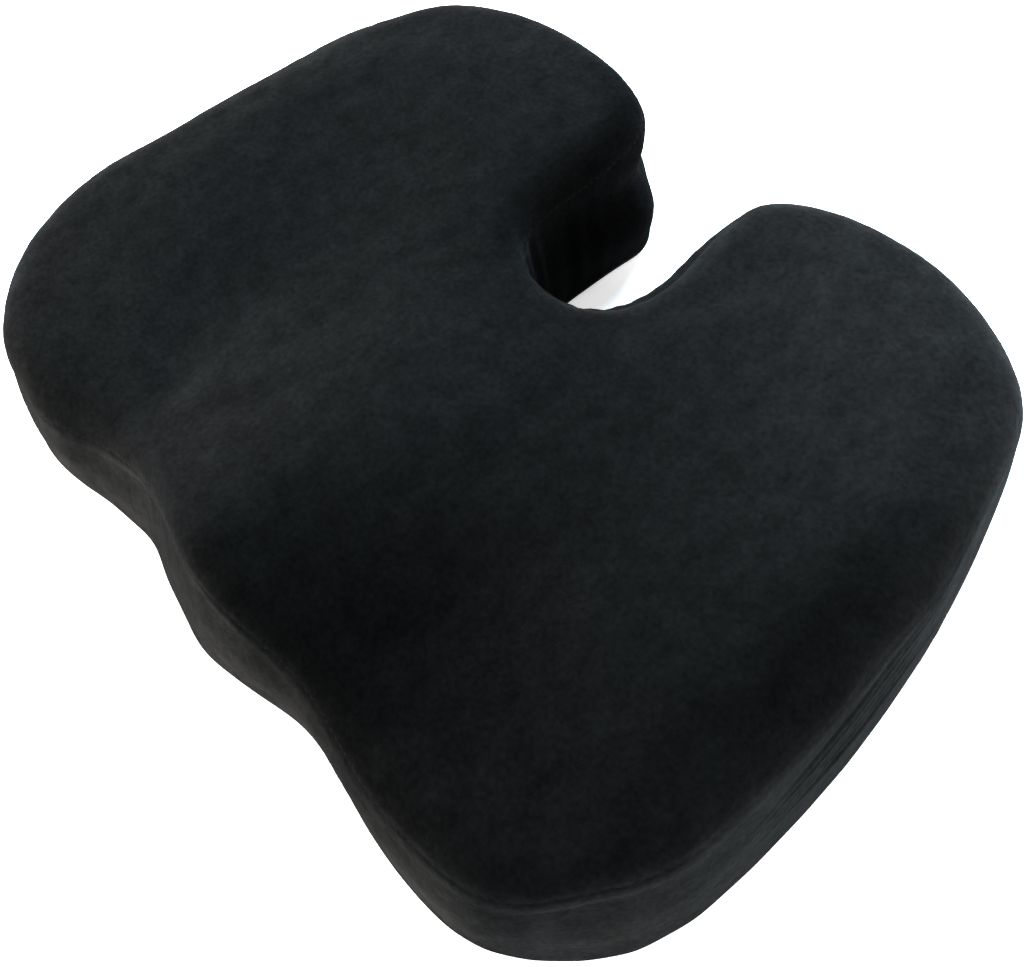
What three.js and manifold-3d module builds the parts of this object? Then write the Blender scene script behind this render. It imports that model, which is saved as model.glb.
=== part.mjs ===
// Contoured seat cushion with a U-shaped tailbone cut-out: a moulded foam core in a sewn,
// zipped velour cover. Millimetres, +Z up. The underside rests on z = 0, -Y is the front
// (thigh) edge, +Y is the back with the cut-out, and the shape is symmetric about x = 0.
import * as THREE from "three";
import { mergeVertices } from "three/addons/utils/BufferGeometryUtils.js";
import Module from "manifold-3d";

const wasm = await Module();
wasm.setup();

// ---------------------------------------------------------------- driving dimensions

// Right half of the plan outline at floor level, from the middle of the front edge round to
// the root of the cut-out. The left half mirrors it.
const HALF_OUTLINE = [
  [0, -170], // middle of the front edge
  [28, -166.5],
  [59, -159], // where the middle bulge ends
  [83, -159.5], // deepest point of the thigh scallop
  [127, -167], // inner side of the front corner
  [176, -161], // front corner
  [214.5, -120], // start of the side
  [223, -36], // widest point
  [215, 46], // side, narrowing
  [202, 103],
  [181, 142], // rear corner
  [126, 168.5], // tip of the rear lobe
  [68, 166],
  [31.5, 141.5], // mouth of the cut-out
  [28.5, 99], // wall of the cut-out
  [28.5, 72],
  [20, 52],
  [0, 46], // root of the cut-out
];
const SAMPLES_PER_POINT = 3; // outline samples between neighbouring outline points

const REAR_HEIGHT = 91.5;
const SIDE_HEIGHT = 85;
const FRONT_CORNER_HEIGHT = 70;
const THIGH_CHANNEL_HEIGHT = 65; // edge height in the scallops
const FRONT_MIDDLE_HEIGHT = 83; // edge height of the middle bulge
const THIGH_CHANNEL_X = 88; // middle of each thigh channel
const CHANNEL_SPREAD = 38;
const CHANNEL_END_Y = -62; // where the channels have half faded out towards the seat
const CHANNEL_FADE = 22;
const FRONT_RISE = [-172, -52]; // y range over which the top climbs from the front corners
const REAR_RISE = [-40, 150]; // y range of the gentler climb to the back
const BASIN_DEPTH = 7; // shallow dish under each sit bone
const BASIN_X = 98;
const BASIN_Y = 12;
const BASIN_SPREAD = 78;

const TOP_RADIUS = 17; // roundover between the top and the side
const BOTTOM_RADIUS = 8;
const WALL_LEAN = 6; // how far the side leans in by the time it meets the roundover
const TOP_SEAM_DROP = 10; // the top seam lies this far below the top, on the roundover
const BOTTOM_SEAM_Z = 7;
const SEAM_GAP = 1.7; // room between two panels for their seam thread
const THREAD = 1;
const THREAD_INSET = 0.4; // the seam threads lie this far inside the outer form

const FABRIC = 2; // cover fabric thickness
const CLEARANCE = 0.3; // gap kept between separate pieces
const GRIP_LAYER = 0.9; // thickness of the printed grip layer under the bottom panels
const GRIP_MARGIN = 16; // fabric left bare round the grip layer
const GRID = 22; // spacing of the surface grid on the top
const GRID_MARGIN = 0.45; // share of GRID that the grid stays away from its boundary
const BEYOND = 240; // further than any point of the cushion is from the middle

// Straight zip across the underside, in a shallow recess, facing down.
const ZIP_Y = -14;
const ZIP_OPENING_LENGTH = 404;
const ZIP_OPENING_WIDTH = 28;
const TEETH_LENGTH = 346;
const TEETH_WIDTH = 2.6; // one row
const TEETH_THICKNESS = 1.7;
const TEETH_GAP = 1.6; // between the two rows, so that the slider's post can pass
const TAPE_THICKNESS = 0.7;
const TAPE_BOTTOM_Z = 7.6;
const TAPE_STITCH_MARGIN = 2; // tape left without stitching at each end
const RECESS_Z = 10.6; // roof of the recess in the foam
const STITCH = 0.6;
const STOP_LENGTH = 3;
const STOP_PROUD = 0.3; // the stops are this much thicker than the coils

const SLIDER_LENGTH = 11;
const SLIDER_WIDTH = 9.4;
const SLIDER_NOSE = 1.2; // how far the slider's leading corners are cut back
const SLIDER_TAIL = 0.4; // and its trailing corners
const WING = 1; // thickness of the slider's two wings
const FLANGE = 0.9;
const POST_WIDTH = 1;
const POST_LENGTH = 3.2;
const BRIDGE_SPAN = 6.6; // outside length of the bridge that holds the pull
const BRIDGE_LEG = 1.1;
const BRIDGE_WIDTH = 1.8;
const BRIDGE_ROOM = 1.7; // clear height under the bridge
const PULL_LENGTH = 26;
const PULL_WIDTH = 7;
const PULL_THICKNESS = 1.1;
const PULL_WINDOW = 6.4;
const PULL_WINDOW_WIDTH = 2.8;
const PULL_TAPER = 1; // narrower by this much each side at the slider's end
const PULL_CORNER = [3, 1.6]; // cut corners of the free end, along and across
const PULL_BAR_RADIUS = 0.55;
const OVERLAP = 0.1; // how far fused solids run into each other

const LABEL = { x: -150, y: 62, width: 34, depth: 22, thickness: 0.5 };
const LABEL_MARGIN = 3; // bare cloth left round the label
const ZIP_MARGIN = 3; // and beside the zip opening

// ---------------------------------------------------------------- materials

function material(colour, roughness, metalness = 0) {
  return new THREE.MeshStandardMaterial({ color: colour, roughness, metalness });
}

const VELOUR = material(0x17191a, 0.95);
const BASE_CLOTH = material(0x1b1c1e, 0.9);
const FOAM = material(0xe6dcc0, 0.85);
const SILICONE = material(0x242527, 0.5);
const TAPE = material(0x141415, 0.85);
const COIL = material(0x1c1c1e, 0.45);
const PAINTED_ZINC = material(0x2a2a2c, 0.35, 0.6);
const THREAD_BLACK = material(0x101011, 0.7);
const SATIN_LABEL = material(0xe9e8e4, 0.6);

// ---------------------------------------------------------------- plan outline

const MIRRORED = HALF_OUTLINE.slice(1, -1).reverse().map(([x, y]) => [-x, y]);
const CONTROL_POINTS = [...HALF_OUTLINE, ...MIRRORED].map(([x, y]) => new THREE.Vector3(x, y, 0));
const CURVE = new THREE.CatmullRomCurve3(CONTROL_POINTS, true, "centripetal");
const STEPS = CONTROL_POINTS.length * SAMPLES_PER_POINT;

// The band round the side is two strips that meet at the mouth of the cut-out. These are the
// outline samples that end the outer strip, with a narrow step after each for the join.
const RIGHT_JOIN = (HALF_OUTLINE.length - 5) * SAMPLES_PER_POINT;
const LEFT_JOIN = STEPS - RIGHT_JOIN + 1;

// Places of the samples along the curve, from 0 to 1, counter-clockwise seen from above.
function samplePlaces() {
  const places = Array.from({ length: STEPS }, (_, k) => k / STEPS);
  const join = RIGHT_JOIN / STEPS;
  const step = CURVE.getPoint(join).distanceTo(CURVE.getPoint(join + 1 / STEPS));
  const narrow = SEAM_GAP / step / STEPS;
  places.push(join + narrow, 1 - join - narrow);
  return places.sort((a, b) => a - b);
}

const PLACES = samplePlaces();
const OUTLINE = PLACES.map((place) => CURVE.getPoint(place));

// Inward normal of the outline at each sample.
const INWARD = PLACES.map((place) => {
  const along = CURVE.getTangent(place);
  return new THREE.Vector3(-along.y, along.x, 0);
});

function smooth(value, from, to) {
  return THREE.MathUtils.smoothstep(value, from, to);
}

function bump(distance, spread) {
  return Math.exp(-((distance / spread) ** 2));
}

// Height of the top over a point of the plan, before the edge is rounded over.
function topHeight(x, y) {
  const side = Math.abs(x);
  const length =
    FRONT_CORNER_HEIGHT +
    (SIDE_HEIGHT - FRONT_CORNER_HEIGHT) * smooth(y, ...FRONT_RISE) +
    (REAR_HEIGHT - SIDE_HEIGHT) * smooth(y, ...REAR_RISE);
  const front = 1 / (1 + Math.exp((y - CHANNEL_END_Y) / CHANNEL_FADE));
  const inChannel = front * bump(side - THIGH_CHANNEL_X, CHANNEL_SPREAD);
  const inMiddle = front * bump(side, CHANNEL_SPREAD);
  const fromBasin = Math.hypot(side - BASIN_X, y - BASIN_Y);
  return (
    length +
    (THIGH_CHANNEL_HEIGHT - length) * inChannel +
    (FRONT_MIDDLE_HEIGHT - length) * inMiddle -
    BASIN_DEPTH * bump(fromBasin, BASIN_SPREAD)
  );
}

// ---------------------------------------------------------------- rings round the outline

// Ring of points at a distance inside the outline. height is a number, or a function of x, y.
function ring(inside, height) {
  return OUTLINE.map((point, i) => {
    const p = point.clone().addScaledVector(INWARD[i], inside);
    p.z = typeof height === "number" ? height : height(p.x, p.y);
    return p;
  });
}

// Ring on the roundover between side and top, at an angle above the horizontal.
function topRing(angle, inset) {
  const r = TOP_RADIUS - inset;
  const inside = WALL_LEAN + TOP_RADIUS - r * Math.cos(angle);
  return ring(inside, (x, y) => topHeight(x, y) - TOP_RADIUS + r * Math.sin(angle));
}

// Ring on the rounding between the underside and the side: 0 is flat below, PI / 2 the side.
function bottomRing(angle, inset, floor = 0) {
  const r = BOTTOM_RADIUS - inset;
  const inside = BOTTOM_RADIUS - r * Math.sin(angle);
  return ring(inside, Math.max(BOTTOM_RADIUS - r * Math.cos(angle), floor));
}

const ROUNDOVER_ANGLES = [50, 70, 90].map(THREE.MathUtils.degToRad);
const FLAT_FROM = BOTTOM_RADIUS + 1; // the underside is flat from here inwards

// Angle on the roundover that lies a given distance below the top.
function angleAtDrop(drop) {
  return Math.asin(1 - drop / TOP_RADIUS);
}

// Angle on the bottom rounding at a given height.
function angleAtHeight(z) {
  return Math.acos(1 - z / BOTTOM_RADIUS);
}

// ---------------------------------------------------------------- triangles

class Triangles {
  constructor() {
    this.positions = [];
  }

  face(a, b, c) {
    for (const p of [a, b, c]) this.positions.push(p.x, p.y, p.z);
  }

  quad(a, b, c, d) {
    this.face(a, b, c);
    this.face(a, c, d);
  }

  // Strip of faces between two rings, over a run of samples. With "low" below "high" it faces
  // away from the middle of the plan, or towards it if inward. Both split alike.
  strip(low, high, inward = false, from = 0, to = low.length) {
    for (let i = from; i < to; i++) {
      const a = i % low.length;
      const b = (i + 1) % low.length;
      if (inward) this.quad(low[a], high[a], high[b], low[b]);
      else this.quad(low[a], low[b], high[b], high[a]);
    }
  }

  geometry() {
    const made = new THREE.BufferGeometry();
    made.setAttribute("position", new THREE.Float32BufferAttribute(this.positions, 3));
    return mergeVertices(made, 1e-4);
  }
}

function isInsideLoop(loop, x, y) {
  let inside = false;
  loop.forEach((a, i) => {
    const b = loop[(i + 1) % loop.length];
    const crosses = a.y > y !== b.y > y;
    if (crosses && x < ((b.x - a.x) * (y - a.y)) / (b.y - a.y) + a.x) inside = !inside;
  });
  return inside;
}

function distanceToLoop(loop, x, y) {
  return Math.min(...loop.map((p) => Math.hypot(p.x - x, p.y - y)));
}

// Grid cells well inside a loop, as a Set of "column,row" names.
function cellsInside(loop) {
  const reach = Math.ceil(BEYOND / GRID);
  const clear = (c, r) => {
    const [x, y] = [c * GRID, r * GRID];
    return isInsideLoop(loop, x, y) && distanceToLoop(loop, x, y) > GRID * GRID_MARGIN;
  };
  const cells = new Set();
  for (let c = -reach; c < reach; c++) {
    for (let r = -reach; r < reach; r++) {
      const low = clear(c, r) && clear(c + 1, r);
      if (low && clear(c + 1, r + 1) && clear(c, r + 1)) cells.add(`${c},${r}`);
    }
  }
  return cells;
}

// Outer boundary of a set of cells, counter-clockwise, as grid corners.
function boundaryOfCells(cells) {
  const next = new Map();
  for (const name of cells) {
    const [c, r] = name.split(",").map(Number);
    if (!cells.has(`${c},${r - 1}`)) next.set(`${c},${r}`, `${c + 1},${r}`);
    if (!cells.has(`${c + 1},${r}`)) next.set(`${c + 1},${r}`, `${c + 1},${r + 1}`);
    if (!cells.has(`${c},${r + 1}`)) next.set(`${c + 1},${r + 1}`, `${c},${r + 1}`);
    if (!cells.has(`${c - 1},${r}`)) next.set(`${c},${r + 1}`, `${c},${r}`);
  }
  const start = next.keys().next().value;
  const corners = [];
  let at = start;
  do {
    corners.push(at.split(",").map(Number));
    at = next.get(at);
  } while (at !== start);
  return corners;
}

// Faces between an outer and an inner loop, each step taking the shorter way across.
function zipper(outer, inner) {
  const faces = [];
  const gap = (i, j) => outer[i % outer.length].distanceTo(inner[j % inner.length]);
  const order = inner.map((_, j) => j).sort((j, k) => gap(0, j) - gap(0, k));
  const start = order[0];
  let i = 0;
  let j = start;
  while (i < outer.length || j < start + inner.length) {
    const outerDone = i === outer.length;
    const innerDone = j === start + inner.length;
    const a = outer[i % outer.length];
    const b = inner[j % inner.length];
    if (!outerDone && (innerDone || gap(i + 1, j) < gap(i, j + 1))) {
      i += 1;
      faces.push([a, outer[i % outer.length], b]);
    } else {
      j += 1;
      faces.push([a, inner[j % inner.length], b]);
    }
  }
  return faces;
}

// Contoured surface inside a ring: a regular grid, and a fitted strip between grid and ring.
function contouredCap(loop, height) {
  const corner = (c, r) => new THREE.Vector3(c * GRID, r * GRID, height(c * GRID, r * GRID));
  const cells = cellsInside(loop);
  const faces = zipper(loop, boundaryOfCells(cells).map(([c, r]) => corner(c, r)));
  for (const name of cells) {
    const [c, r] = name.split(",").map(Number);
    faces.push([corner(c, r), corner(c + 1, r), corner(c + 1, r + 1)]);
    faces.push([corner(c, r), corner(c + 1, r + 1), corner(c, r + 1)]);
  }
  return faces;
}

// Flat surface inside a ring.
function flatCap(loop) {
  return THREE.ShapeUtils.triangulateShape(loop, []).map((f) => f.map((i) => loop[i]));
}

function addCap(triangles, faces, up) {
  for (const [a, b, c] of faces) {
    if (up) triangles.face(a, b, c);
    else triangles.face(a, c, b);
  }
}

// ---------------------------------------------------------------- solids

function solid(geometry) {
  const bare = geometry.index ? geometry.toNonIndexed() : geometry.clone();
  bare.deleteAttribute("normal");
  bare.deleteAttribute("uv");
  const merged = mergeVertices(bare, 1e-4);
  const mesh = new wasm.Mesh({
    numProp: 3,
    vertProperties: new Float32Array(merged.attributes.position.array),
    triVerts: new Uint32Array(merged.index.array),
  });
  return new wasm.Manifold(mesh);
}

function geometryOf(manifold) {
  const mesh = manifold.getMesh();
  const made = new THREE.BufferGeometry();
  made.setAttribute("position", new THREE.BufferAttribute(mesh.vertProperties, 3));
  made.setIndex(new THREE.BufferAttribute(mesh.triVerts, 1));
  return made;
}

// Box between two corners.
function block(low, high) {
  const [x0, y0, z0] = low;
  const [x1, y1, z1] = high;
  const made = new THREE.BoxGeometry(x1 - x0, y1 - y0, z1 - z0);
  made.translate((x0 + x1) / 2, (y0 + y1) / 2, (z0 + z1) / 2);
  return solid(made);
}

// Box across the zip, given its reach either side of the zip's centre line.
function zipBlock(x0, x1, y0, y1, z0, z1) {
  return block([x0, ZIP_Y + y0, z0], [x1, ZIP_Y + y1, z1]);
}

// Box on one side of the zip's centre line, from "near" to "far" away from it. side is -1 or 1.
function besideZip(side, half, near, far, z0, z1) {
  const y0 = side > 0 ? near : -far;
  const y1 = side > 0 ? far : -near;
  return zipBlock(-half, half, y0, y1, z0, z1);
}

const group = new THREE.Group();
group.name = "seat_cushion";

function add(name, geometry, look) {
  const mesh = new THREE.Mesh(geometry, look);
  mesh.name = name;
  group.add(mesh);
}

// ---------------------------------------------------------------- foam core

// Everything inside the cover: the outer form, moved in by the fabric and a clearance, with a
// shallow recess over the zip.
function foamCore() {
  const inset = FABRIC + CLEARANCE;
  const floor = GRIP_LAYER + FABRIC + 2 * CLEARANCE;
  const rings = [
    ring(FLAT_FROM, floor),
    bottomRing(Math.PI / 4, inset, floor),
    bottomRing(Math.PI / 2, inset),
    topRing(0, inset),
    topRing(angleAtDrop(TOP_SEAM_DROP), inset),
    ...ROUNDOVER_ANGLES.map((angle) => topRing(angle, inset)),
  ];
  const surface = new Triangles();
  addCap(surface, flatCap(rings[0]), false);
  for (let k = 0; k + 1 < rings.length; k++) surface.strip(rings[k], rings[k + 1]);
  addCap(surface, contouredCap(rings.at(-1), (x, y) => topHeight(x, y) - inset), true);
  const half = ZIP_OPENING_WIDTH / 2 + FABRIC;
  const long = ZIP_OPENING_LENGTH / 2 + FABRIC;
  const recess = zipBlock(-long, long, -half, half, 0, RECESS_Z);
  return geometryOf(solid(surface.geometry()).subtract(recess));
}

add("foam_core", foamCore(), FOAM);

// ---------------------------------------------------------------- cover: top panel and bands

const SEAM_ANGLE_TOP = angleAtDrop(TOP_SEAM_DROP - SEAM_GAP / 2);
const SEAM_ANGLE_BAND = angleAtDrop(TOP_SEAM_DROP + SEAM_GAP / 2);
const SEAM_ANGLE_BASE = angleAtHeight(BOTTOM_SEAM_Z - SEAM_GAP / 2);
const BAND_LOW_Z = BOTTOM_SEAM_Z + SEAM_GAP / 2;

// The contoured top piece of the cover, down to the top seam.
function topPanel() {
  const angles = [SEAM_ANGLE_TOP, ...ROUNDOVER_ANGLES];
  const outer = angles.map((a) => topRing(a, 0));
  const inner = angles.map((a) => topRing(a, FABRIC));
  const surface = new Triangles();
  surface.strip(inner[0], outer[0]);
  for (let k = 0; k + 1 < angles.length; k++) {
    surface.strip(outer[k], outer[k + 1]);
    surface.strip(inner[k], inner[k + 1], true);
  }
  addCap(surface, contouredCap(outer.at(-1), topHeight), true);
  addCap(surface, contouredCap(inner.at(-1), (x, y) => topHeight(x, y) - FABRIC), false);
  return surface.geometry();
}

// Upright band of fabric between the two seams, over a run of outline samples.
function band(from, to) {
  const outer = [ring(0, BAND_LOW_Z), topRing(0, 0), topRing(SEAM_ANGLE_BAND, 0)];
  const inner = [ring(FABRIC, BAND_LOW_Z), topRing(0, FABRIC), topRing(SEAM_ANGLE_BAND, FABRIC)];
  const rings = [...outer, ...inner.toReversed()];
  const surface = new Triangles();
  for (let k = 0; k < 2; k++) {
    surface.strip(outer[k], outer[k + 1], false, from, to);
    surface.strip(inner[k], inner[k + 1], true, from, to);
  }
  surface.strip(outer[2], inner[2], false, from, to);
  surface.strip(inner[0], outer[0], false, from, to);
  const cap = (at, up) => {
    const i = at % OUTLINE.length;
    const edge = rings.map((r) => r[i]);
    const faces = [
      [edge[0], edge[1], edge[4]],
      [edge[0], edge[4], edge[5]],
      [edge[1], edge[2], edge[3]],
      [edge[1], edge[3], edge[4]],
    ];
    for (const [a, b, c] of faces) surface.face(...(up ? [a, b, c] : [a, c, b]));
  };
  cap(from, true);
  cap(to, false);
  return surface.geometry();
}

add("top_panel", topPanel(), VELOUR);

// ---------------------------------------------------------------- cover: bottom panels

// The whole underside of the cover, from the bottom seam down to the flat base.
function bottomCover() {
  const floor = GRIP_LAYER + CLEARANCE;
  const angles = [SEAM_ANGLE_BASE, Math.PI / 4];
  const outer = angles.map((a) => bottomRing(a, 0, floor));
  const inner = angles.map((a) => bottomRing(a, FABRIC, floor + FABRIC));
  outer.push(ring(FLAT_FROM, floor));
  inner.push(ring(FLAT_FROM, floor + FABRIC));
  const surface = new Triangles();
  surface.strip(outer[0], inner[0]);
  for (let k = 0; k + 1 < outer.length; k++) {
    surface.strip(outer[k + 1], outer[k]);
    surface.strip(inner[k + 1], inner[k], true);
  }
  addCap(surface, flatCap(outer.at(-1)), false);
  addCap(surface, flatCap(inner.at(-1)), true);
  return solid(surface.geometry());
}

// One of the two bottom panels, with the fold that rises beside the zip. side is -1 or 1.
function bottomPanel(whole, side) {
  const half = ZIP_OPENING_WIDTH / 2;
  const long = ZIP_OPENING_LENGTH / 2;
  const floor = GRIP_LAYER + CLEARANCE;
  const opening = zipBlock(-long, long, -half, half, 0, BOTTOM_RADIUS);
  const otherSide = besideZip(-side, BEYOND, -CLEARANCE, BEYOND, 0, 2 * BOTTOM_RADIUS);
  const foldTop = TAPE_BOTTOM_Z - CLEARANCE;
  const fold = besideZip(side, long, half - FABRIC, half, floor, foldTop);
  const foot = besideZip(side, long, half - 1, half + 1, floor, floor + FABRIC);
  return geometryOf(whole.subtract(opening).subtract(otherSide).add(fold).add(foot));
}

const wholeBottom = bottomCover();
add("bottom_panel_front", bottomPanel(wholeBottom, -1), BASE_CLOTH);
add("bottom_panel_rear", bottomPanel(wholeBottom, 1), BASE_CLOTH);
add("side_band", band(LEFT_JOIN + 1, OUTLINE.length + RIGHT_JOIN), VELOUR);
add("cutout_band", band(RIGHT_JOIN + 1, LEFT_JOIN), VELOUR);

// ---------------------------------------------------------------- grip layers and label

// Box round the label, larger by a margin.
function labelBlock(margin, z0, z1) {
  const halfWidth = LABEL.width / 2 + margin;
  const halfDepth = LABEL.depth / 2 + margin;
  return block(
    [LABEL.x - halfWidth, LABEL.y - halfDepth, z0],
    [LABEL.x + halfWidth, LABEL.y + halfDepth, z1],
  );
}

// Flat layer of grip dots under one bottom panel, which carries the cushion's weight.
function gripLayer(side) {
  const low = ring(GRIP_MARGIN, 0);
  const high = ring(GRIP_MARGIN, GRIP_LAYER);
  const surface = new Triangles();
  addCap(surface, flatCap(low), false);
  addCap(surface, flatCap(high), true);
  surface.strip(low, high);
  const bare = ZIP_OPENING_WIDTH / 2 + ZIP_MARGIN;
  const otherSide = besideZip(-side, BEYOND, -bare, BEYOND, -1, 2 * GRIP_LAYER);
  const labelWindow = labelBlock(LABEL_MARGIN, -1, 2 * GRIP_LAYER);
  return geometryOf(solid(surface.geometry()).subtract(otherSide).subtract(labelWindow));
}

// Blank sewn-on care label on the rear bottom panel.
function careLabel() {
  return geometryOf(labelBlock(0, GRIP_LAYER - LABEL.thickness, GRIP_LAYER));
}

add("grip_dots_front", gripLayer(-1), SILICONE);
add("grip_dots_rear", gripLayer(1), SILICONE);
add("care_label", careLabel(), SATIN_LABEL);

// ---------------------------------------------------------------- seam threads

// Closed cord of triangular section that follows two rings.
function cord(outerRing, innerRing) {
  const low = outerRing.map((p) => p.clone().setZ(p.z - THREAD / 2));
  const high = outerRing.map((p) => p.clone().setZ(p.z + THREAD / 2));
  const surface = new Triangles();
  surface.strip(low, high);
  surface.strip(high, innerRing);
  surface.strip(innerRing, low);
  return surface.geometry();
}

function topSeamThread() {
  const angle = angleAtDrop(TOP_SEAM_DROP);
  return cord(topRing(angle, THREAD_INSET), topRing(angle, THREAD_INSET + THREAD));
}

function bottomSeamThread() {
  return cord(ring(THREAD_INSET, BOTTOM_SEAM_Z), ring(THREAD_INSET + THREAD, BOTTOM_SEAM_Z));
}

// Upright join between the two bands, between a sample and the next.
function bandJoinThread(sample) {
  const before = OUTLINE[sample];
  const after = OUTLINE[sample + 1];
  const middle = new THREE.Vector3().addVectors(before, after).multiplyScalar(0.5);
  const inward = INWARD[sample].clone().add(INWARD[sample + 1]).normalize();
  const at = (inside, z) => middle.clone().addScaledVector(inward, inside).setZ(z);
  const top = topHeight(middle.x, middle.y) - TOP_RADIUS;
  const path = new THREE.LineCurve3(at(1, BAND_LOW_Z), at(WALL_LEAN + 1, top));
  const across = new THREE.Shape();
  across.absarc(0, 0, THREAD / 2, 0, Math.PI * 2);
  return new THREE.ExtrudeGeometry(across, { steps: 1, curveSegments: 3, extrudePath: path });
}

add("top_seam_thread", topSeamThread(), THREAD_BLACK);
add("bottom_seam_thread", bottomSeamThread(), THREAD_BLACK);
add("band_join_thread_right", bandJoinThread(RIGHT_JOIN), THREAD_BLACK);
add("band_join_thread_left", bandJoinThread(LEFT_JOIN), THREAD_BLACK);

// ---------------------------------------------------------------- zip

const TEETH_TOP_Z = TAPE_BOTTOM_Z - CLEARANCE;
const TEETH_BOTTOM_Z = TEETH_TOP_Z - TEETH_THICKNESS;
const TAPE_TOP_Z = TAPE_BOTTOM_Z + TAPE_THICKNESS;

function zipTape(side) {
  const near = TEETH_GAP / 2;
  const far = ZIP_OPENING_WIDTH / 2;
  return besideZip(side, ZIP_OPENING_LENGTH / 2, near, far, TAPE_BOTTOM_Z, TAPE_TOP_Z);
}

// One row of the coil. It is a plain bar here.
function zipTeeth(side) {
  const near = TEETH_GAP / 2;
  const far = near + TEETH_WIDTH;
  return besideZip(side, TEETH_LENGTH / 2, near, far, TEETH_BOTTOM_Z, TEETH_TOP_Z);
}

// The line of stitching that holds the tape to the fold.
function zipStitching(side) {
  const middle = ZIP_OPENING_WIDTH / 2 - FABRIC / 2;
  const long = ZIP_OPENING_LENGTH / 2 - TAPE_STITCH_MARGIN;
  const low = TAPE_TOP_Z + CLEARANCE;
  return besideZip(side, long, middle - STITCH / 2, middle + STITCH / 2, low, low + STITCH);
}

for (const [name, side] of [["front", -1], ["rear", 1]]) {
  add(`zip_tape_${name}`, geometryOf(zipTape(side)), TAPE);
  add(`zip_teeth_${name}`, geometryOf(zipTeeth(side)), COIL);
  add(`zip_stitching_${name}`, geometryOf(zipStitching(side)), THREAD_BLACK);
}

// Crimped stop just past one end of the teeth. end is -1 or 1 along X.
function zipStop(end) {
  const from = TEETH_LENGTH / 2 + CLEARANCE;
  const wide = TEETH_GAP / 2 + TEETH_WIDTH;
  const x0 = end > 0 ? from : -from - STOP_LENGTH;
  const low = TEETH_BOTTOM_Z - STOP_PROUD;
  return geometryOf(zipBlock(x0, x0 + STOP_LENGTH, -wide, wide, low, TEETH_TOP_Z));
}

add("zip_stop_closed_end", zipStop(1), PAINTED_ZINC);
add("zip_stop_open_end", zipStop(-1), PAINTED_ZINC);

const SLIDER_X = TEETH_LENGTH / 2 - SLIDER_LENGTH / 2; // parked against the closed-end stop
const WING_LOW_TOP_Z = TEETH_BOTTOM_Z - CLEARANCE;
const WING_LOW_Z = WING_LOW_TOP_Z - WING;
const WING_HIGH_Z = TAPE_TOP_Z + CLEARANCE;
const PULL_AXIS_Z = WING_LOW_Z - BRIDGE_ROOM / 2;

// Wing of the slider: a plate with its two leading corners cut back. z is its lower face.
function sliderWing(z) {
  const long = SLIDER_LENGTH / 2;
  const wide = SLIDER_WIDTH / 2;
  const nose = wide - SLIDER_NOSE;
  const tail = wide - SLIDER_TAIL;
  const plan = new THREE.Shape();
  plan.moveTo(-long, -nose);
  plan.lineTo(0, -wide);
  plan.lineTo(long, -tail);
  plan.lineTo(long, tail);
  plan.lineTo(0, wide);
  plan.lineTo(-long, nose);
  plan.closePath();
  const made = new THREE.ExtrudeGeometry(plan, { depth: WING, bevelEnabled: false });
  made.translate(0, 0, z);
  return solid(made);
}

// Post between the slider's two wings, at its trailing end.
function sliderPost() {
  const end = SLIDER_LENGTH / 2;
  const half = POST_WIDTH / 2;
  return block(
    [end - POST_LENGTH, -half, WING_LOW_TOP_Z - OVERLAP],
    [end, half, WING_HIGH_Z + OVERLAP],
  );
}

// Flange along one edge of the lower wing, beside the coils. low is its lower y.
function sliderFlange(low) {
  const long = SLIDER_LENGTH / 2 - SLIDER_NOSE;
  return block(
    [-long, low, WING_LOW_TOP_Z - OVERLAP],
    [long, low + FLANGE, TAPE_BOTTOM_Z - CLEARANCE],
  );
}

// The bridge that holds the pull: a bar on two legs.
function sliderBridge() {
  const half = BRIDGE_WIDTH / 2;
  const span = BRIDGE_SPAN / 2;
  const low = WING_LOW_Z - BRIDGE_ROOM - BRIDGE_LEG;
  const high = WING_LOW_Z + OVERLAP;
  return block([-span, -half, low], [span, half, low + BRIDGE_LEG])
    .add(block([-span, -half, low], [BRIDGE_LEG - span, half, high]))
    .add(block([span - BRIDGE_LEG, -half, low], [span, half, high]));
}

// Slider: two wings on a central post, side flanges round the coils, and the pull's bridge.
function zipSlider() {
  const edge = SLIDER_WIDTH / 2 - SLIDER_TAIL;
  return sliderWing(WING_LOW_Z)
    .add(sliderWing(WING_HIGH_Z))
    .add(sliderPost())
    .add(sliderFlange(-edge))
    .add(sliderFlange(edge - FLANGE))
    .add(sliderBridge())
    .translate([SLIDER_X, ZIP_Y, 0]);
}

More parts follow.
